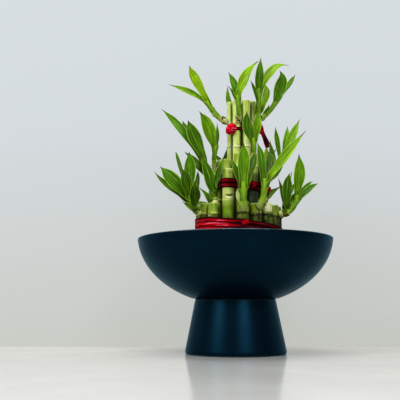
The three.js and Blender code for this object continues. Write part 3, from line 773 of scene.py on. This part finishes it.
# Leafy shoots: the cane that each grows from, the height, how thick and how pale its stem is, the stem's
# bend and end, and its leaves. A leaf is a row of where it leaves the stem (0 foot to 1 end), its width,
# its tip, a point on its way and its shade; some also say which way they face, and how faded they are.
leafKeys = ("from", "wide", "tip", "via", "tone", "face", "old")
shootPlan = {
    "topLeft": (upper[0], 240, 6.6, 0.95, (-18, -8, 241), (-29, -12, 260), [
        (0.8, 10.5, (-47, -24, 295), (-41, -18, 281), 0.75),
        (0.9, 6.5, (-70, -13, 278), (-47, -12, 270), 0.6),
        (0.7, 4, (-30, -6, 271), None, 0.3),
        (0.1, 3.5, (-24, -3, 247.5), None, 0.2),
    ]),
    "topFront": (upper[1], 238, 6.4, 0.95, (6, -25, 242), (2, -27, 262), [
        (0.8, 8, (-7, -30, 286), (-1, -29, 272), 0.4),
        (0.85, 10.5, (25, -33, 297), (10, -31, 279), 0.7),
        (0.6, 5, (-8, -29, 272), None, 0.3),
    ]),
    "topCentre": (upper[3], 240, 6.4, 0.95, (27, -12, 246), (25, -17, 272), [
        (0.75, 9.5, (28, -22, 305), (26, -20, 284), 0.3),
        (0.8, 9, (59, -10, 300), (39, -15, 292), 0.7),
        (0.55, 4, (16, -25, 279), (21, -21, 268), 0.25),
        (0.35, 8, (31, -9, 281), (34, -9, 268), 0.65),
    ]),
    "topRight": (upper[4], 243, 6.2, 0.95, (33, 5, 244), (46, 3, 264), [
        (0.8, 13, (49, -6, 296), (51, -1, 281), 0.45),
        (0.95, 5.5, (68, 8, 297), (60, 6, 284), 0.4),
        (0.35, 6, (38, 0, 261), None, 0.35),
    ]),
    "middleFront": (middle[1], 196, 6, 0.95, (19, -31, 199), (18, -33, 215), [
        (0.7, 11, (11, -44, 240), (12, -38, 225), 0.25),
        (0.8, 8.5, (22, -36, 244), (22, -34, 228), 0.55),
    ]),
    "leftTall": (lower[2], 147, 7, 0.95, (-20.5, -19.5, 165), (-33, -29, 195), [
        (0.85, 8.5, (-76, -30, 246), (-56, -30, 225), 0.42),
        (0.9, 13.5, (-48, -41, 231), (-42, -36, 216), 0.3),
        (0.8, 8, (-54, -22, 236), (-47, -25, 219), 0.25),
        (0.6, 8, (-52, -27, 202), (-40, -28, 190), 0.15),
        (0.3, 12, (-36, -35, 201), (-27, -30, 175), 0.35),
        (0.35, 6, (-12, -34, 196), (-18, -33, 178), 0.3),
    ]),
    "leftInner": (middle[8], 189, 6, 0.95, (-24, -9, 191), (-19, -14, 212), [
        (0.8, 13.5, (-37, -26, 245), (-28, -20, 229), 0.55),
        (0.9, 4.5, (-18, -10, 238), None, 0.3),
    ]),
    "front": (lower[3], 141, 8.5, 0.45, (6, -53, 146), (6, -54, 166), [
        (0.75, 12, (6, -62, 203), (6, -59, 184), 0.5),
        (0.7, 6, (-6, -52, 190), (-1, -54, 176), 0.3),
        (0.75, 7.5, (17, -47, 196), (15, -51, 184), 0.1),
        (0.16, 4.6, (0.4, -50, 161), (1.2, -51, 151), 0.4, None, 0.75),
    ]),
    "frontRight": (lower[4], 144, 8, 0.45, (27, -48, 148), (27, -48, 170), [
        (0.8, 8, (20, -50, 206), (24, -51, 188), 0.35),
        (0.75, 10, (31, -39, 200), (33, -43, 185), 0.1),
        (0.85, 9.5, (70, -46, 220), (47, -49, 192), 0.62),
    ]),
    "rightTall": (middle[2], 176, 5.5, 0.95, (45, -21, 176), (49, -22, 200), [
        (0.75, 5.5, (41, -26, 229), (43, -24, 213), 0.35),
        (0.85, 6.5, (55, -13, 233), (53, -18, 216), 0.5),
        (0.9, 9, (67, -22, 238), (58, -23, 218), 0.6),
        (0.8, 8, (64, -31, 214), (55, -28, 205), 0.65),
        (0.5, 6, (36, -20, 217), (38, -19, 200), 0.3),
    ]),
    "lowLeft": (lower[1], 140, 7, 0.95, (-43, -24, 141), (-47, -29, 157), [
        (0.8, 14, (-76, -36, 185), (-64, -33, 172), 0.45),
        (0.7, 5.5, (-83, -21, 183), (-68, -25, 167), 0.15),
        (0.75, 4.2, (-61, -19, 204), (-57, -23, 190), 0.3),
        (0.85, 12.5, (-47, -36, 200), (-46, -34, 182), 0.4),
        (0.75, 11, (-54, -46, 180), (-50, -41, 170), 0.2),
        (0.45, 11, (-41, -58, 166), (-41, -48, 156), 0.3),
        (0.5, 5, (-38, -20, 184), (-39, -24, 170), 0.2),
    ]),
    "lowRight": (lower[6], 139, 7, 0.95, (58, -24, 138), (62, -23, 158), [
        (0.85, 11.5, (64, -28, 200), (64, -27, 179), 0.5),
        (0.3, 10.5, (54, -33, 179), (51, -29, 164), 0.35),
        (0.75, 6.5, (85, -17, 171), (74, -19, 164), 0.45),
        (0.8, 5, (81, -9, 175), (72, -14, 167), 0.35),
        (0.7, 4.5, (72, -8, 185), (66, -14, 172), 0.3),
        (0.25, 4.5, (43, -24, 176), (47, -24, 160), 0.15),
    ]),
    "topBack": (upper[5], 237, 5.2, 0.95, (4, 23, 239), (1, 20, 254), [
        (0.85, 6.5, (-6, 9, 284), (-4, 14, 268), None, (-0.3, 1, 0.2)),
        (0.7, 8, (22, 34, 266), (12, 26, 259), None, (-0.2, -0.6, 1)),
        (0.5, 7, (-4, 44, 262), (0, 32, 257), None, (0.2, -0.5, 1)),
        (0.9, 6, (10, 24, 281), (6, 22, 268), None, (0, 1, -0.3)),
    ]),
}
backShoots = {  # by rule: cane, height, angle, reach, count of leaves, width
    "backA": (lower[8], 140, 112, 36, 5, 11),
    "backB": (lower[10], 141, 160, 42, 5, 12),
    "backC": (lower[12], 140, 202, 38, 5, 12),
    "backD": (lower[13], 139, 241, 30, 5, 11),
    "backE": (middle[4], 178, 134, 34, 5, 10),
    "backF": (middle[6], 178, 200, 30, 4, 10),
}
blade = {
    "shape": [  # place along the blade, share of its width
        (0, 0.3), (0.2, 0.62), (0.43, 1.0), (0.64, 0.86), (0.8, 0.46), (0.89, 0.17), (0.95, 0.07), (1.0, 0.0),
    ],
    "curl": 0.72,  # half of the angle that the section turns through, in radians
    "rolled": 2.3,  # the same where it leaves the stem
    "closed": 2.9,  # and where its sheath starts
    "thick": 0.5,
    "along": 40,
    "across": 12,
    "wave": 0.035,
    "twist": 26.0,
    "opens": 0.28,  # where along the blade its base has opened out
    "sheathLength": 0.24,
    "lowest": 0.16,
    "sheathRows": 9,
    "fresh": srgb(170, 208, 20),
    "green": srgb(54, 114, 0),
    "deep": srgb(2, 34, 0),
    "under": srgb(74, 130, 30),
    "brinkHighlight": srgb(214, 230, 160),
    "tip": srgb(60, 46, 28),
    "sheath": srgb(126, 162, 28),
    "pale": srgb(202, 210, 138),
    "dry": srgb(104, 62, 30),
    "drift": (150.0, 0.06, 1.1),
    "rough": (260.0, 0.3, 0.46),
    "veins": 52.0,
}
stemLooks = {
    "sides": 24,
    "steps": 64,
    "taper": 0.35,
    "rings": (0.07, 0.14, 0.22, 0.31),  # scars of fallen leaves, along the stem
    "swell": 0.13,
    "scales": 4,
    "scaleLong": 2.6,
    "scalePoints": 9,  # along a scale, and across it
    "plain": (5.4, 0.95),  # how thick and how pale the stems at the back are
}


def plainShoot(cane, at, angle, reach, count, wide):
    # a fan of leaves that open less and less towards the top
    out, up, across = waysAt(angle)
    base = Vector((cane["x"], cane["y"], at)) + out * cane["r"]
    bend = base + out * 8 + up * 3
    end = bend + out * 3 + up * 0.4 * reach
    leaves = []
    for i in range(count):
        height = i / (count - 1)
        opened = radians(56 - 46 * height)
        aside = (across * (1 if i % 2 == 0 else -1) + out * 0.55).normalized()
        way = (up + out * 0.2).normalized() * cos(opened) + aside * sin(opened)
        tip = base.lerp(end, 0.35 + 0.6 * height) + way * (reach * (0.85 + 0.25 * scatter(i, angle)))
        width = wide * (0.85 + 0.25 * scatter(angle, i))
        leaves.append((0.3 + 0.65 * height, width, tip, None, None, (-out.x, -out.y, 0.5)))
    return cane, at, *stemLooks["plain"], bend, end, leaves


def bezier(a, b, c, t):
    return a * (1 - t) ** 2 + b * 2 * t * (1 - t) + c * t * t


def bezierWay(a, b, c, t):
    return ((b - a) * (1 - t) + (c - b) * t).normalized()


def bladeWidth(t):
    # a smooth line through the blade's widths
    steps = blade["shape"]
    k = next(k for k in range(len(steps) - 1) if t <= steps[k + 1][0])
    (x0, y0), (x1, y1) = steps[k], steps[k + 1]
    before, after = steps[max(k - 1, 0)], steps[min(k + 2, len(steps) - 1)]
    m0 = (y1 - before[1]) / (x1 - before[0]) * (x1 - x0)
    m1 = (after[1] - y0) / (after[0] - x0) * (x1 - x0)
    s = (t - x0) / (x1 - x0)
    line = (2 * s ** 3 - 3 * s ** 2 + 1) * y0 + (s ** 3 - 2 * s ** 2 + s) * m0
    return max(0.0, line + (3 * s ** 2 - 2 * s ** 3) * y1 + (s ** 3 - s ** 2) * m1)


def bladeFrame(direction, wanted):
    # side and up across a direction, with up as near as can be to the one wanted
    up = (wanted - direction * wanted.dot(direction)).normalized()
    return direction.cross(up).normalized(), up


def stemAt(stem, t):
    foot, bend, end = stem["foot"], stem["bend"], stem["end"]
    return bezier(foot, bend, end, t), stem["outward"] if t <= 0 else bezierWay(foot, bend, end, t)


def stemRadius(stem, t):
    return stem["thick"] / 2 * (1 - stemLooks["taper"] * t)


def bladeRows(stem, leaf, seed):
    # middle line, side, up, half width, half angle and place of each section, from sheath to tip
    rolled, fork = blade["rolled"], leaf["from"]
    start, way = stemAt(stem, fork)
    tip, face = Vector(leaf["tip"]), Vector(leaf.get("face", (0, -1, 0.25)))
    bend = start + way * (tip - start).length * 0.42
    if "via" in leaf:
        bend = Vector(leaf["via"]) * 2 - start * 0.5 - tip * 0.5
    lean = (tip - start).normalized()
    keel = (lean - way * lean.dot(way)) - face.normalized() * 0.35
    keel = (keel - way * keel.dot(way)).normalized()
    tube = stemRadius(stem, fork) + 0.25
    low = min(max(blade["lowest"], fork - blade["sheathLength"]), fork - 0.03)
    rows = []
    for i in range(blade["sheathRows"]):
        share = i / blade["sheathRows"]
        p, direction = stemAt(stem, mix(low, fork, share))
        side, up = bladeFrame(direction, -keel)
        r = stemRadius(stem, fork) + 0.08 + 0.17 * share
        angle = mix(blade["closed"], rolled, share)
        rows.append((p + keel * r, side, up, r * angle, angle, share - 1.0))
    twist = radians(blade["twist"]) * (2 * scatter(seed, 4) - 1)
    curl = blade["curl"] * (0.8 + 0.4 * scatter(seed, 9))
    for i in range(blade["along"] + 1):
        t = i / blade["along"]
        p, direction = bezier(start, bend, tip, t), bezierWay(start, bend, tip, t)
        opened = smooth(0, blade["opens"], t)
        flat = bladeFrame(direction, face)[1]
        side, up = bladeFrame(direction, -keel * (1 - opened) + flat * opened)
        swing = twist * smooth(0.35, 1, t)
        side, up = side * cos(swing) + up * sin(swing), up * cos(swing) - side * sin(swing)
        half = mix(tube * rolled, leaf["wide"] * bladeWidth(t) / 2 * 1.06, opened)
        sway = 0.05 * leaf["wide"] * sin(2 * pi * t + seed) * opened * (1 - t)
        middleLine = p + keel * tube * (1 - opened) ** 2 + side * sway
        rows.append((middleLine, side, up, half, mix(rolled, curl, opened ** 0.6), t))
    return rows


def addBlade(shape, stem, leaf, tone, seed):
    across = blade["across"]
    kind = {"tone": tone, "old": leaf.get("old", 0.0)}
    points, values = [], []
    for p, side, up, half, angle, t in bladeRows(stem, leaf, seed):
        top, low, over, under = [], [], [], []
        for j in range(across + 1):
            s = 2 * j / across - 1
            r, edge = half / angle, abs(s)
            ripple = leaf["wide"] * blade["wave"] * edge ** 2 * sin(10 * t + 2 * s + seed)
            groove = 0.22 * hump(s * half, 0.55) * smooth(0.05, 0.3, t) * smooth(1.0, 0.8, t)
            lift = r * (1 - cos(angle * s)) - groove + ripple * smooth(0.2, 0.5, t) * smooth(1, 0.85, t)
            q = p + side * (r * sin(angle * s)) + up * lift
            normal = up * cos(angle * s) - side * sin(angle * s)
            thick = blade["thick"] / 2 * (1 - 0.8 * edge ** 3) * (0.4 + 0.6 * smooth(1.0, 0.8, t))
            top.append(q + normal * thick)
            low.append(q - normal * thick)
            over.append(dict(kind, along=max(t, 0.0), cross=s))
            under.append(dict(over[-1], under=1.0))
        points.append(top + low[::-1])
        values.append(over + under[::-1])
    count = len(points[0])
    first, last = shape.grid(points, values)
    shape.faces.append(tuple(first + k for k in range(count))[::-1])
    shape.cap(last, count, leaf["tip"], dict(kind, along=1.0))


def addStem(shape, stem, seed):
    # pale and knobbly at its foot, where old leaves have dropped, and green above
    rows, values = [], []
    sides, steps = stemLooks["sides"], stemLooks["steps"]
    for i in range(steps + 1):
        t = i / steps
        p, way = stemAt(stem, t)
        side = way.cross(Vector((0.31, 0.17, 0.93))).normalized()
        other = way.cross(side).normalized()
        r, scar = stemRadius(stem, t) * 0.96, 0.0
        for k, ringPlace in enumerate(stemLooks["rings"]):
            near = t - ringPlace - 0.02 * (scatter(seed, k) - 0.5)
            r *= 1 + stemLooks["swell"] * hump(near + 0.02, 0.018)
            scar = max(scar, hump(near - 0.004, 0.007))
        ring, row = [], []
        for a in around(sides):
            uneven = 0.03 * noise.noise(Vector((cos(a) * 1.5, sin(a) * 1.5, t * 9 + seed)))
            ring.append(p + (side * cos(a) + other * sin(a)) * r * (1 + uneven))
            brown = (scar + 0.7 * smooth(0.06, 0.0, t)) * (0.6 + 0.4 * sin(2 * a + seed + 9 * t))
            faded = stem["pale"] * smooth(0.5, 0.12, t)
            row.append({"stem": 1.0, "old": faded, "tone": 0.5, "dry": 0.85 * min(1.0, brown)})
        rows.append(ring)
        values.append(row)
    first, last = shape.grid(rows, values)
    shape.cap(first, sides, stem["foot"], {"stem": 1.0, "dry": 0.8}, flip=True)
    shape.cap(last, sides, stem["end"], {"stem": 1.0, "tone": 0.5})


def addScales(shape, stem, seed):
    # brown papery scales that hug the foot of the shoot
    count = stemLooks["scalePoints"]
    for k in range(stemLooks["scales"]):
        p, way = stemAt(stem, 0.05 + 0.07 * k)
        side, up = bladeFrame(way, Vector((0, 0, 1)))
        a = 2 * pi * scatter(seed, 20 + k)
        ray = side * cos(a) + up * sin(a)
        beside = way.cross(ray)
        rows = []
        for i in range(count):
            s = i / (count - 1)
            centre = p + way * (stemLooks["scaleLong"] * s) + ray * (0.25 + 1.3 * s ** 2)
            row = []
            for j in range(count):
                b = (2 * j / (count - 1) - 1) * (0.7 * (1 - s ** 1.6) + 0.04)
                row.append(centre + (ray * cos(b) + beside * sin(b)) * (stem["thick"] / 2 * 0.97))
            rows.append(row + [q - ray * 0.22 for q in row[::-1]])
        first, last = shape.grid(rows, [[{"dry": 0.95, "stem": 1.0, "along": 0.3}] * 2 * count] * count)
        shape.faces.append(tuple(first + n for n in range(2 * count))[::-1])
        shape.faces.append(tuple(last + n for n in range(2 * count)))


def makeLeafMaterial():
    material, ink = newMaterial("leafGreen", Coat_Weight=0.06, Coat_Roughness=0.2)
    along, cross, tone = ink.mark("along"), ink.mark("cross"), ink.mark("tone")
    fresh, deep, sheath = blade["fresh"], blade["deep"], blade["sheath"]
    # streaks and parallel veins run from base to tip
    lane = ink.node("ShaderNodeCombineXYZ")
    ink.feed(lane, X=ink.times(cross, 5.0), Y=ink.times(along, 1.6), Z=ink.times(tone, 30.0))
    streak = ink.cloud(1.6, lane.outputs[0], Detail=4.0)
    vein = ink.maths("SINE", ink.times(cross, blade["veins"]))
    away = ink.maths("ABSOLUTE", cross)
    # painted shade where the blades leave the sheath
    throatShade = ink.times(ink.fade(along, 0.02, 0.2, 0.7, 0), ink.minus(1.0, away), clamp=True)
    colour = ink.layers(
        ink.drift(ink.ramp(tone, [(0.0, deep), (0.45, blade["green"]), (0.9, fresh)]), *blade["drift"]),
        (ink.rise(streak, 0.46, 5.0), deep, 0.82),
        (ink.times(ink.minus(0.44, streak), 3.4, clamp=True), fresh),
        (ink.plus(vein, 1.0), fresh, 0.08),
        (ink.minus(1.0, ink.times(away, 9.0), clamp=True), sheath, 0.4),  # the rib
        (ink.rise(away, 0.78, 4.5), fresh, 0.38),  # the margins
        ("under", blade["under"], 0.4),
        # a thin pale edge line: partly the leaf's translucent margin, partly a painted rim highlight
        (ink.rise(away, 0.9, 8.0), blade["brinkHighlight"], 0.3),
        (ink.fade(along, 0.0, 0.25, 0.6, 0), sheath),
        (throatShade, deep),
        (ink.fade(along, 0.84, 0.94, 0, 1), blade["tip"]),
        ("stem", sheath),
        ("old", blade["pale"]),
        ("dry", blade["dry"]),
    )
    ink.surface(Base_Color=colour, Roughness=ink.mottle(*blade["rough"]), Specular_IOR_Level=0.17)
    ink.surface(Subsurface_Weight=0.1, Subsurface_Radius=(0.0015, 0.003, 0.0006))
    ink.relief(vein, 0.35, 0.00012)
    return material


def buildShoots():
    material = makeLeafMaterial()
    plans = dict(shootPlan)
    plans.update((name, plainShoot(*rule)) for name, rule in backShoots.items())
    for number, (name, (cane, at, thick, pale, bend, end, leaves)) in enumerate(plans.items()):
        bend, end = Vector(bend), Vector(end)
        outward = Vector((bend.x - cane["x"], bend.y - cane["y"], 0)).normalized()
        onNode = any(abs(z - at) < thick / 2 + 2 for z in cane["nodes"])
        reach = cane["r"] + (canePlan["ridge"] if onNode else 0) - 0.1
        foot = Vector((cane["x"], cane["y"], at)) + outward * reach
        stem = {"foot": foot, "bend": bend, "end": end, "outward": outward, "thick": thick, "pale": pale}
        shape = Shape()
        addStem(shape, stem, number)
        addScales(shape, stem, number)
        for i, row in enumerate(leaves):
            leaf = {key: value for key, value in zip(leafKeys, row) if value is not None}
            tone = leaf.get("tone", 0.15 + 0.6 * scatter(number, i + 2))
            addBlade(shape, stem, leaf, tone, number * 5 + i)
        node = "shoot_" + "".join("_" + c.lower() if c.isupper() else c for c in name)
        shape.piece(name + "Shoot", [node], material)
    print("shoots built:", len(plans))


# Ribbons. Painted shade darkens a band between two X, at its top and at its left flank, and in the grooves
# between its turns. A band has knots: the place, the angle, the size, the stretch, how many loops and how
# dark.
ribbons = {
    "gap": 0.35,
    "thick": 0.8,
    "steps": 720,
    "sides": 12,
    "loopSteps": 18,
    "lower": {
        "low": 117.0, "high": 131.0, "tilt": 0.11, "turns": 3,
        "shade": (-16.0, 14.0), "topShade": 0.7, "flank": 0.0,
        "knots": [((8.2, -45.2, 127.2), 6, 4.4, 0.5, 9, 0.22)],
    },
    "middle": {
        "low": 163.0, "high": 172.5, "tilt": 0.06, "turns": 2,
        "shade": (-34.0, 16.0), "topShade": 0.2, "flank": 0.7,
        "knots": [
            ((18.8, -25.7, 168.4), 20, 3.2, 0.7, 8, 0.38),
            ((33.9, -9.8, 166.6), 72, 3.8, 0.9, 8, 0.25),
        ],
    },
    "upper": {
        "low": 228.0, "high": 231.5, "tilt": 0.0, "turns": 1,
        "shade": (-5.0, 8.0), "topShade": 0.0, "flank": 0.0,
        "knots": [
            ((-3.3, -13.5, 229.3), -26, 5.9, 1.05, 12, -0.12),
            ((27.2, -6.8, 231.6), 50, 4.6, 1.25, 8, 0.5),
        ],
    },
    "root": ((22.4, -4.8, 230), (28.2, -7.6, 231.4)),  # joins the upper right knot to its band
    "rootShades": (0.8, 0.65),
    "tail": ((27.6, -8.6, 230), (34.5, -16.4, 209)),
    "tailShades": (0.6, 0.85, 1.0, 1.0, 0.8),
    "red": srgb(200, 8, 34),
    "dark": srgb(44, 2, 10),
    "paintedHighlight": srgb(246, 132, 156),
    "drift": (130.0, 0.015, 0.6),
    "rough": (180.0, 0.28, 0.42),
    "shine": (70.0, 12.0),  # the scale and the stretch of the grain for the painted highlights
    "creases": (260.0, 5.0),
    "bandStep": 1.1,  # between two sections of a band where it runs straight
    "leastStep": 0.55,  # sections that lie nearer to each other than this are left out
}


def makeRibbonMaterial():
    material, ink = newMaterial("redSatin", Anisotropic=0.4, Specular_Tint=(1.0, 0.45, 0.45, 1.0))
    # painted highlights: pale pink streaks where the grain rises, held back where the band is darkened
    shine = ink.rise(ink.grain(*ribbons["shine"]), 0.58, 8.0)
    lit = ink.times(shine, ink.minus(1.0, ink.mark("deep")), clamp=True)
    red = ink.drift(ribbons["red"], *ribbons["drift"])
    # deep carries the painted shade of the bands, knots and tail
    colour = ink.layers(red, ("deep", ribbons["dark"]), (lit, ribbons["paintedHighlight"]))
    rough = ink.plus(ink.mottle(*ribbons["rough"]), ink.times(ink.mark("deep"), 0.4), clamp=True)
    ink.surface(Base_Color=colour, Roughness=rough, Specular_IOR_Level=0.04)
    ink.relief(ink.grain(*ribbons["creases"]), 0.4, 0.0004)
    return material


def wrapOutline(group):
    # a tight line round a group of canes: places and the way out of them
    outline = []
    for a in around(ribbons["steps"]):
        ux, uy = polar(1, a)
        far = max(group, key=lambda c: c["x"] * ux + c["y"] * uy + c["r"])
        reach = far["r"] + ribbons["gap"]
        outline.append((far["x"] + ux * reach, far["y"] + uy * reach, ux, uy))
    # it runs straight between canes, so it is filled in there and thinned elsewhere
    filled = []
    for i, (x, y, ux, uy) in enumerate(outline):
        nx, ny = outline[(i + 1) % len(outline)][:2]
        pieces = max(1, round(hypot(nx - x, ny - y) / ribbons["bandStep"]))
        filled += [(mix(x, nx, k / pieces), mix(y, ny, k / pieces), ux, uy) for k in range(pieces)]
    kept = [filled[0]]
    for p in filled[1:]:
        if hypot(p[0] - kept[-1][0], p[1] - kept[-1][1]) > ribbons["leastStep"]:
            kept.append(p)
    return kept


def addBand(shape, group, look):
    # rolled turns of ribbon side by side, each a rounded cord with creases
    centre = sum(c["x"] for c in group) / len(group)
    low, high, turns = look["low"], look["high"], look["turns"]
    section = 10 * turns
    rows, values = [], []
    for x, y, ux, uy in wrapOutline(group):
        sag = look["tilt"] * (x - centre)
        side = 0.22 + 0.8 * smooth(*look["shade"], x)
        row, marks = [], []
        for k in range(section + 1):
            v = k / section
            roll = abs(sin(pi * v * turns))
            wave = noise.noise(Vector((x * 0.3, y * 0.3, v * 9)))
            out = ribbons["thick"] * (0.35 + 0.6 * roll ** 0.6) + 0.1 * wave
            out = min(max(out, 0.12), ribbons["thick"]) if 0 < k < section else 0.05
            z = mix(low, high, v) - sag + 0.25 * wave * sin(pi * v)
            row.append((x + ux * out, y + uy * out, z))
            # painted shade: darker towards one side, at the top, at the left flank and in the grooves between
            # the turns
            shaded = side + look["topShade"] * smooth(0.8, 0.92, v) + look["flank"] * smooth(-12, -16, x)
            marks.append({"deep": min(1.0, 0.8 * (1 - roll) + min(shaded, 0.82))})
        row += [(x + ux * 0.02, y + uy * 0.02, mix(high, low, k / 4) - sag) for k in range(1, 4)]
        rows.append(row)
        values.append(marks + [{"deep": 1.0}] * 3)
    shape.grid(rows, values, closed=True)


def addStrip(shape, path, widthWay, width, thick, shades):
    # a strip of ribbon along points, rounded at its edges; its shades run evenly from end to end
    rows, values, sides = [], [], ribbons["sides"]
    for i, p in enumerate(path):
        along = i / (len(path) - 1) * (len(shades) - 1)
        step = min(int(along), len(shades) - 2)
        deep = mix(shades[step], shades[step + 1], along - step)
        ahead = (path[min(i + 1, len(path) - 1)] - path[max(i - 1, 0)]).normalized()
        up, side = bladeFrame(ahead, widthWay[i])
        row = []
        for a in around(sides):
            fold = 0.036 * width * cos(2 * a)
            row.append(p + side * cos(a) * width / 2 + up * (sin(a) * thick / 2 + fold))
        rows.append(row)
        values.append([{"deep": deep}] * sides)
    first, last = shape.grid(rows, values)
    shape.cap(first, sides, path[0], {"deep": shades[0]}, flip=True)
    shape.cap(last, sides, path[-1], {"deep": shades[-1]})


def addRosette(shape, centre, angle, size, tall, loops, deep):
    # two layers of ribbon loops round a small hub, lying against the canes
    centre = Vector(centre)
    out, up, across = waysAt(angle)
    for n in range(loops):
        a = 2 * pi * n / loops + 0.4
        layer = 1.0 if n % 2 else 0.74
        ray = across * cos(a) + up * sin(a) * tall
        flank = across * -sin(a) + up * cos(a)
        path, ways = [], []
        for k in range(ribbons["loopSteps"] + 1):
            s = 2 * pi * k / ribbons["loopSteps"]
            far = size * layer * (0.5 - 0.5 * cos(s))
            rise = 0.5 + 3 * (1 - layer) + size * 0.3 * sin(s)
            path.append(centre + ray * far + out * rise + flank * 0.5 * sin(s))
            ways.append(flank + out * 0.2 * sin(s))
        shade = deep + 0.5 * scatter(n, 5)
        addStrip(shape, path, ways, size * 0.62, 0.45, (shade, shade))
    hub = [k * 0.6 for k in range(22)]
    knot = [centre + out * 2.2 + across * 0.9 * cos(s) + up * 1.1 * sin(s) for s in hub]
    addStrip(shape, knot, [out] * len(hub), 2.4, 0.9, (deep, deep))


def between(ends, steps):
    return [Vector(ends[0]).lerp(Vector(ends[1]), k / steps) for k in range(steps + 1)]


def buildRibbons():
    material = makeRibbonMaterial()
    for tier, group in (("lower", lower), ("middle", middle + [leader]), ("upper", upper)):
        band = Shape()
        addBand(band, group, ribbons[tier])
        for knot in ribbons[tier]["knots"]:
            addRosette(band, *knot)
        if tier == "upper":
            root, tail = between(ribbons["root"], 6), between(ribbons["tail"], 16)
            addStrip(band, root, [Vector((0, 0, 1))] * len(root), 3.6, 2.6, ribbons["rootShades"])
            tail = [p + Vector((0, -2.5 * sin(pi * k / 16), 0)) for k, p in enumerate(tail)]
            ways = [Vector((0.85, 0.2 + 0.5 * sin(k * 0.3), 0.5)) for k in range(len(tail))]
            addStrip(band, tail, ways, 5.6, 0.6, ribbons["tailShades"])
        band.piece(tier + "Ribbon", ["ribbon_" + tier], material)
    print("ribbons tied")


# Floor, wall, light and camera
studio = {
    "wall": srgb(84, 86, 87),
    "wallHigh": srgb(205, 211, 215),  # the backdrop's own soft glow, cool above and warmer at its foot
    "wallLow": srgb(196, 197, 190),
    "wallFade": 0.28,
    "wallGlow": 0.76,
    "wallY": 0.125,  # this, the heights and the reach of both sheets are in metres
    "wallHeight": 3.0,
    "wallDrift": (5.0, 0.01, 0.08),
    "floor": srgb(193, 192, 188),
    "floorDrift": (6.0, 0.01, 0.12),
    "floorRough": (12.0, 0.1, 0.17),
    "reach": 4.0,
    "sky": (0.93, 0.97, 1.0, 1.0),
    "skyLight": 0.2,
    "lamps": {  # place and aim in metres, size, power, colour
        "keyLight": ((-1.4, -1.2, 1.2), (0, 0, 0.12), 0.8, 23, (1.0, 0.995, 0.985)),
        "fillLight": ((0.6, -1.6, 1.1), (0, 0, 0.12), 0.7, 17, (0.98, 0.99, 1.0)),
        "topLight": ((-0.1, -0.3, 1.6), (0, 0, 0.2), 0.9, 14, (1.0, 1.0, 1.0)),
    },
    "camera": (-36.0, -679.2, 46.1),
    "pitch": 99.25,
    "lens": 59.31,
}


def addSheet(name, corners, material):
    mesh = bpy.data.meshes.new(name)
    mesh.from_pydata(corners, [], [(0, 1, 2, 3)])
    mesh.materials.append(material)
    return addThing(name, mesh)


def makeFloor():
    material, ink = newMaterial("paleFloor")
    colour = ink.drift(studio["floor"], *studio["floorDrift"])
    ink.surface(Base_Color=colour, Roughness=ink.mottle(*studio["floorRough"]), Specular_IOR_Level=0.13)
    return material


def makeWall():
    # the wall can be seen only from its front, so that other views aren't blocked
    material, ink = newMaterial("paleWall", Roughness=0.9, Specular_IOR_Level=0.1)
    share = ink.maths("DIVIDE", ink.axes(ink.where())["Z"], studio["wallFade"], clamp=True)
    glow = ink.layers(studio["wallLow"], (share, studio["wallHigh"]))
    colour = ink.drift(studio["wall"], *studio["wallDrift"])
    ink.surface(Base_Color=colour, Emission_Color=glow, Emission_Strength=studio["wallGlow"])
    choice = ink.node("ShaderNodeMixShader")
    ink.fill(choice.inputs[0], ink.node("ShaderNodeNewGeometry").outputs["Backfacing"])
    ink.fill(choice.inputs[1], ink.tree.nodes["Principled BSDF"].outputs[0])
    ink.fill(choice.inputs[2], ink.node("ShaderNodeBsdfTransparent").outputs[0])
    ink.feed(ink.tree.nodes["Material Output"], Surface=choice.outputs[0])
    return material


def buildStudio():
    far, y, high = studio["reach"], studio["wallY"], studio["wallHeight"]
    ground = [(-far, -far, 0), (far, -far, 0), (far, far, 0), (-far, far, 0)]
    upright = [(-far, y, 0), (far, y, 0), (far, y, high), (-far, y, high)]
    floor = addSheet("floorSheet", ground, makeFloor())
    wall = addSheet("wallSheet", upright, makeWall())

    scene = bpy.context.scene
    scene.world = bpy.data.worlds.new("softStudio")
    scene.world.use_nodes = True
    Ink(scene.world.node_tree).feed(
        scene.world.node_tree.nodes["Background"], Color=studio["sky"], Strength=studio["skyLight"]
    )
    for name, (spot, aim, size, power, tint) in studio["lamps"].items():
        lamp = bpy.data.lights.new(name, "AREA")
        lamp.size = size
        lamp.energy = power
        lamp.color = tint
        thing = addThing(name, lamp)
        thing.location = spot
        thing.rotation_euler = (Vector(aim) - Vector(spot)).to_track_quat("-Z", "Y").to_euler()

    eye = bpy.data.cameras.new("photoCamera")
    eye.lens = studio["lens"]
    eye.sensor_width = 36
    camera = addThing("photoCamera", eye)
    camera.location = tuple(c * mm for c in studio["camera"])
    camera.rotation_euler = (radians(studio["pitch"]), 0, 0)
    scene.camera = camera
    scene.view_settings.view_transform = "Standard"
    scene.view_settings.look = "Medium High Contrast"
    print("studio ready")


buildStudio()
buildPot(makeCoat())
buildCanes()
buildPebbles()
buildShoots()
buildRibbons()
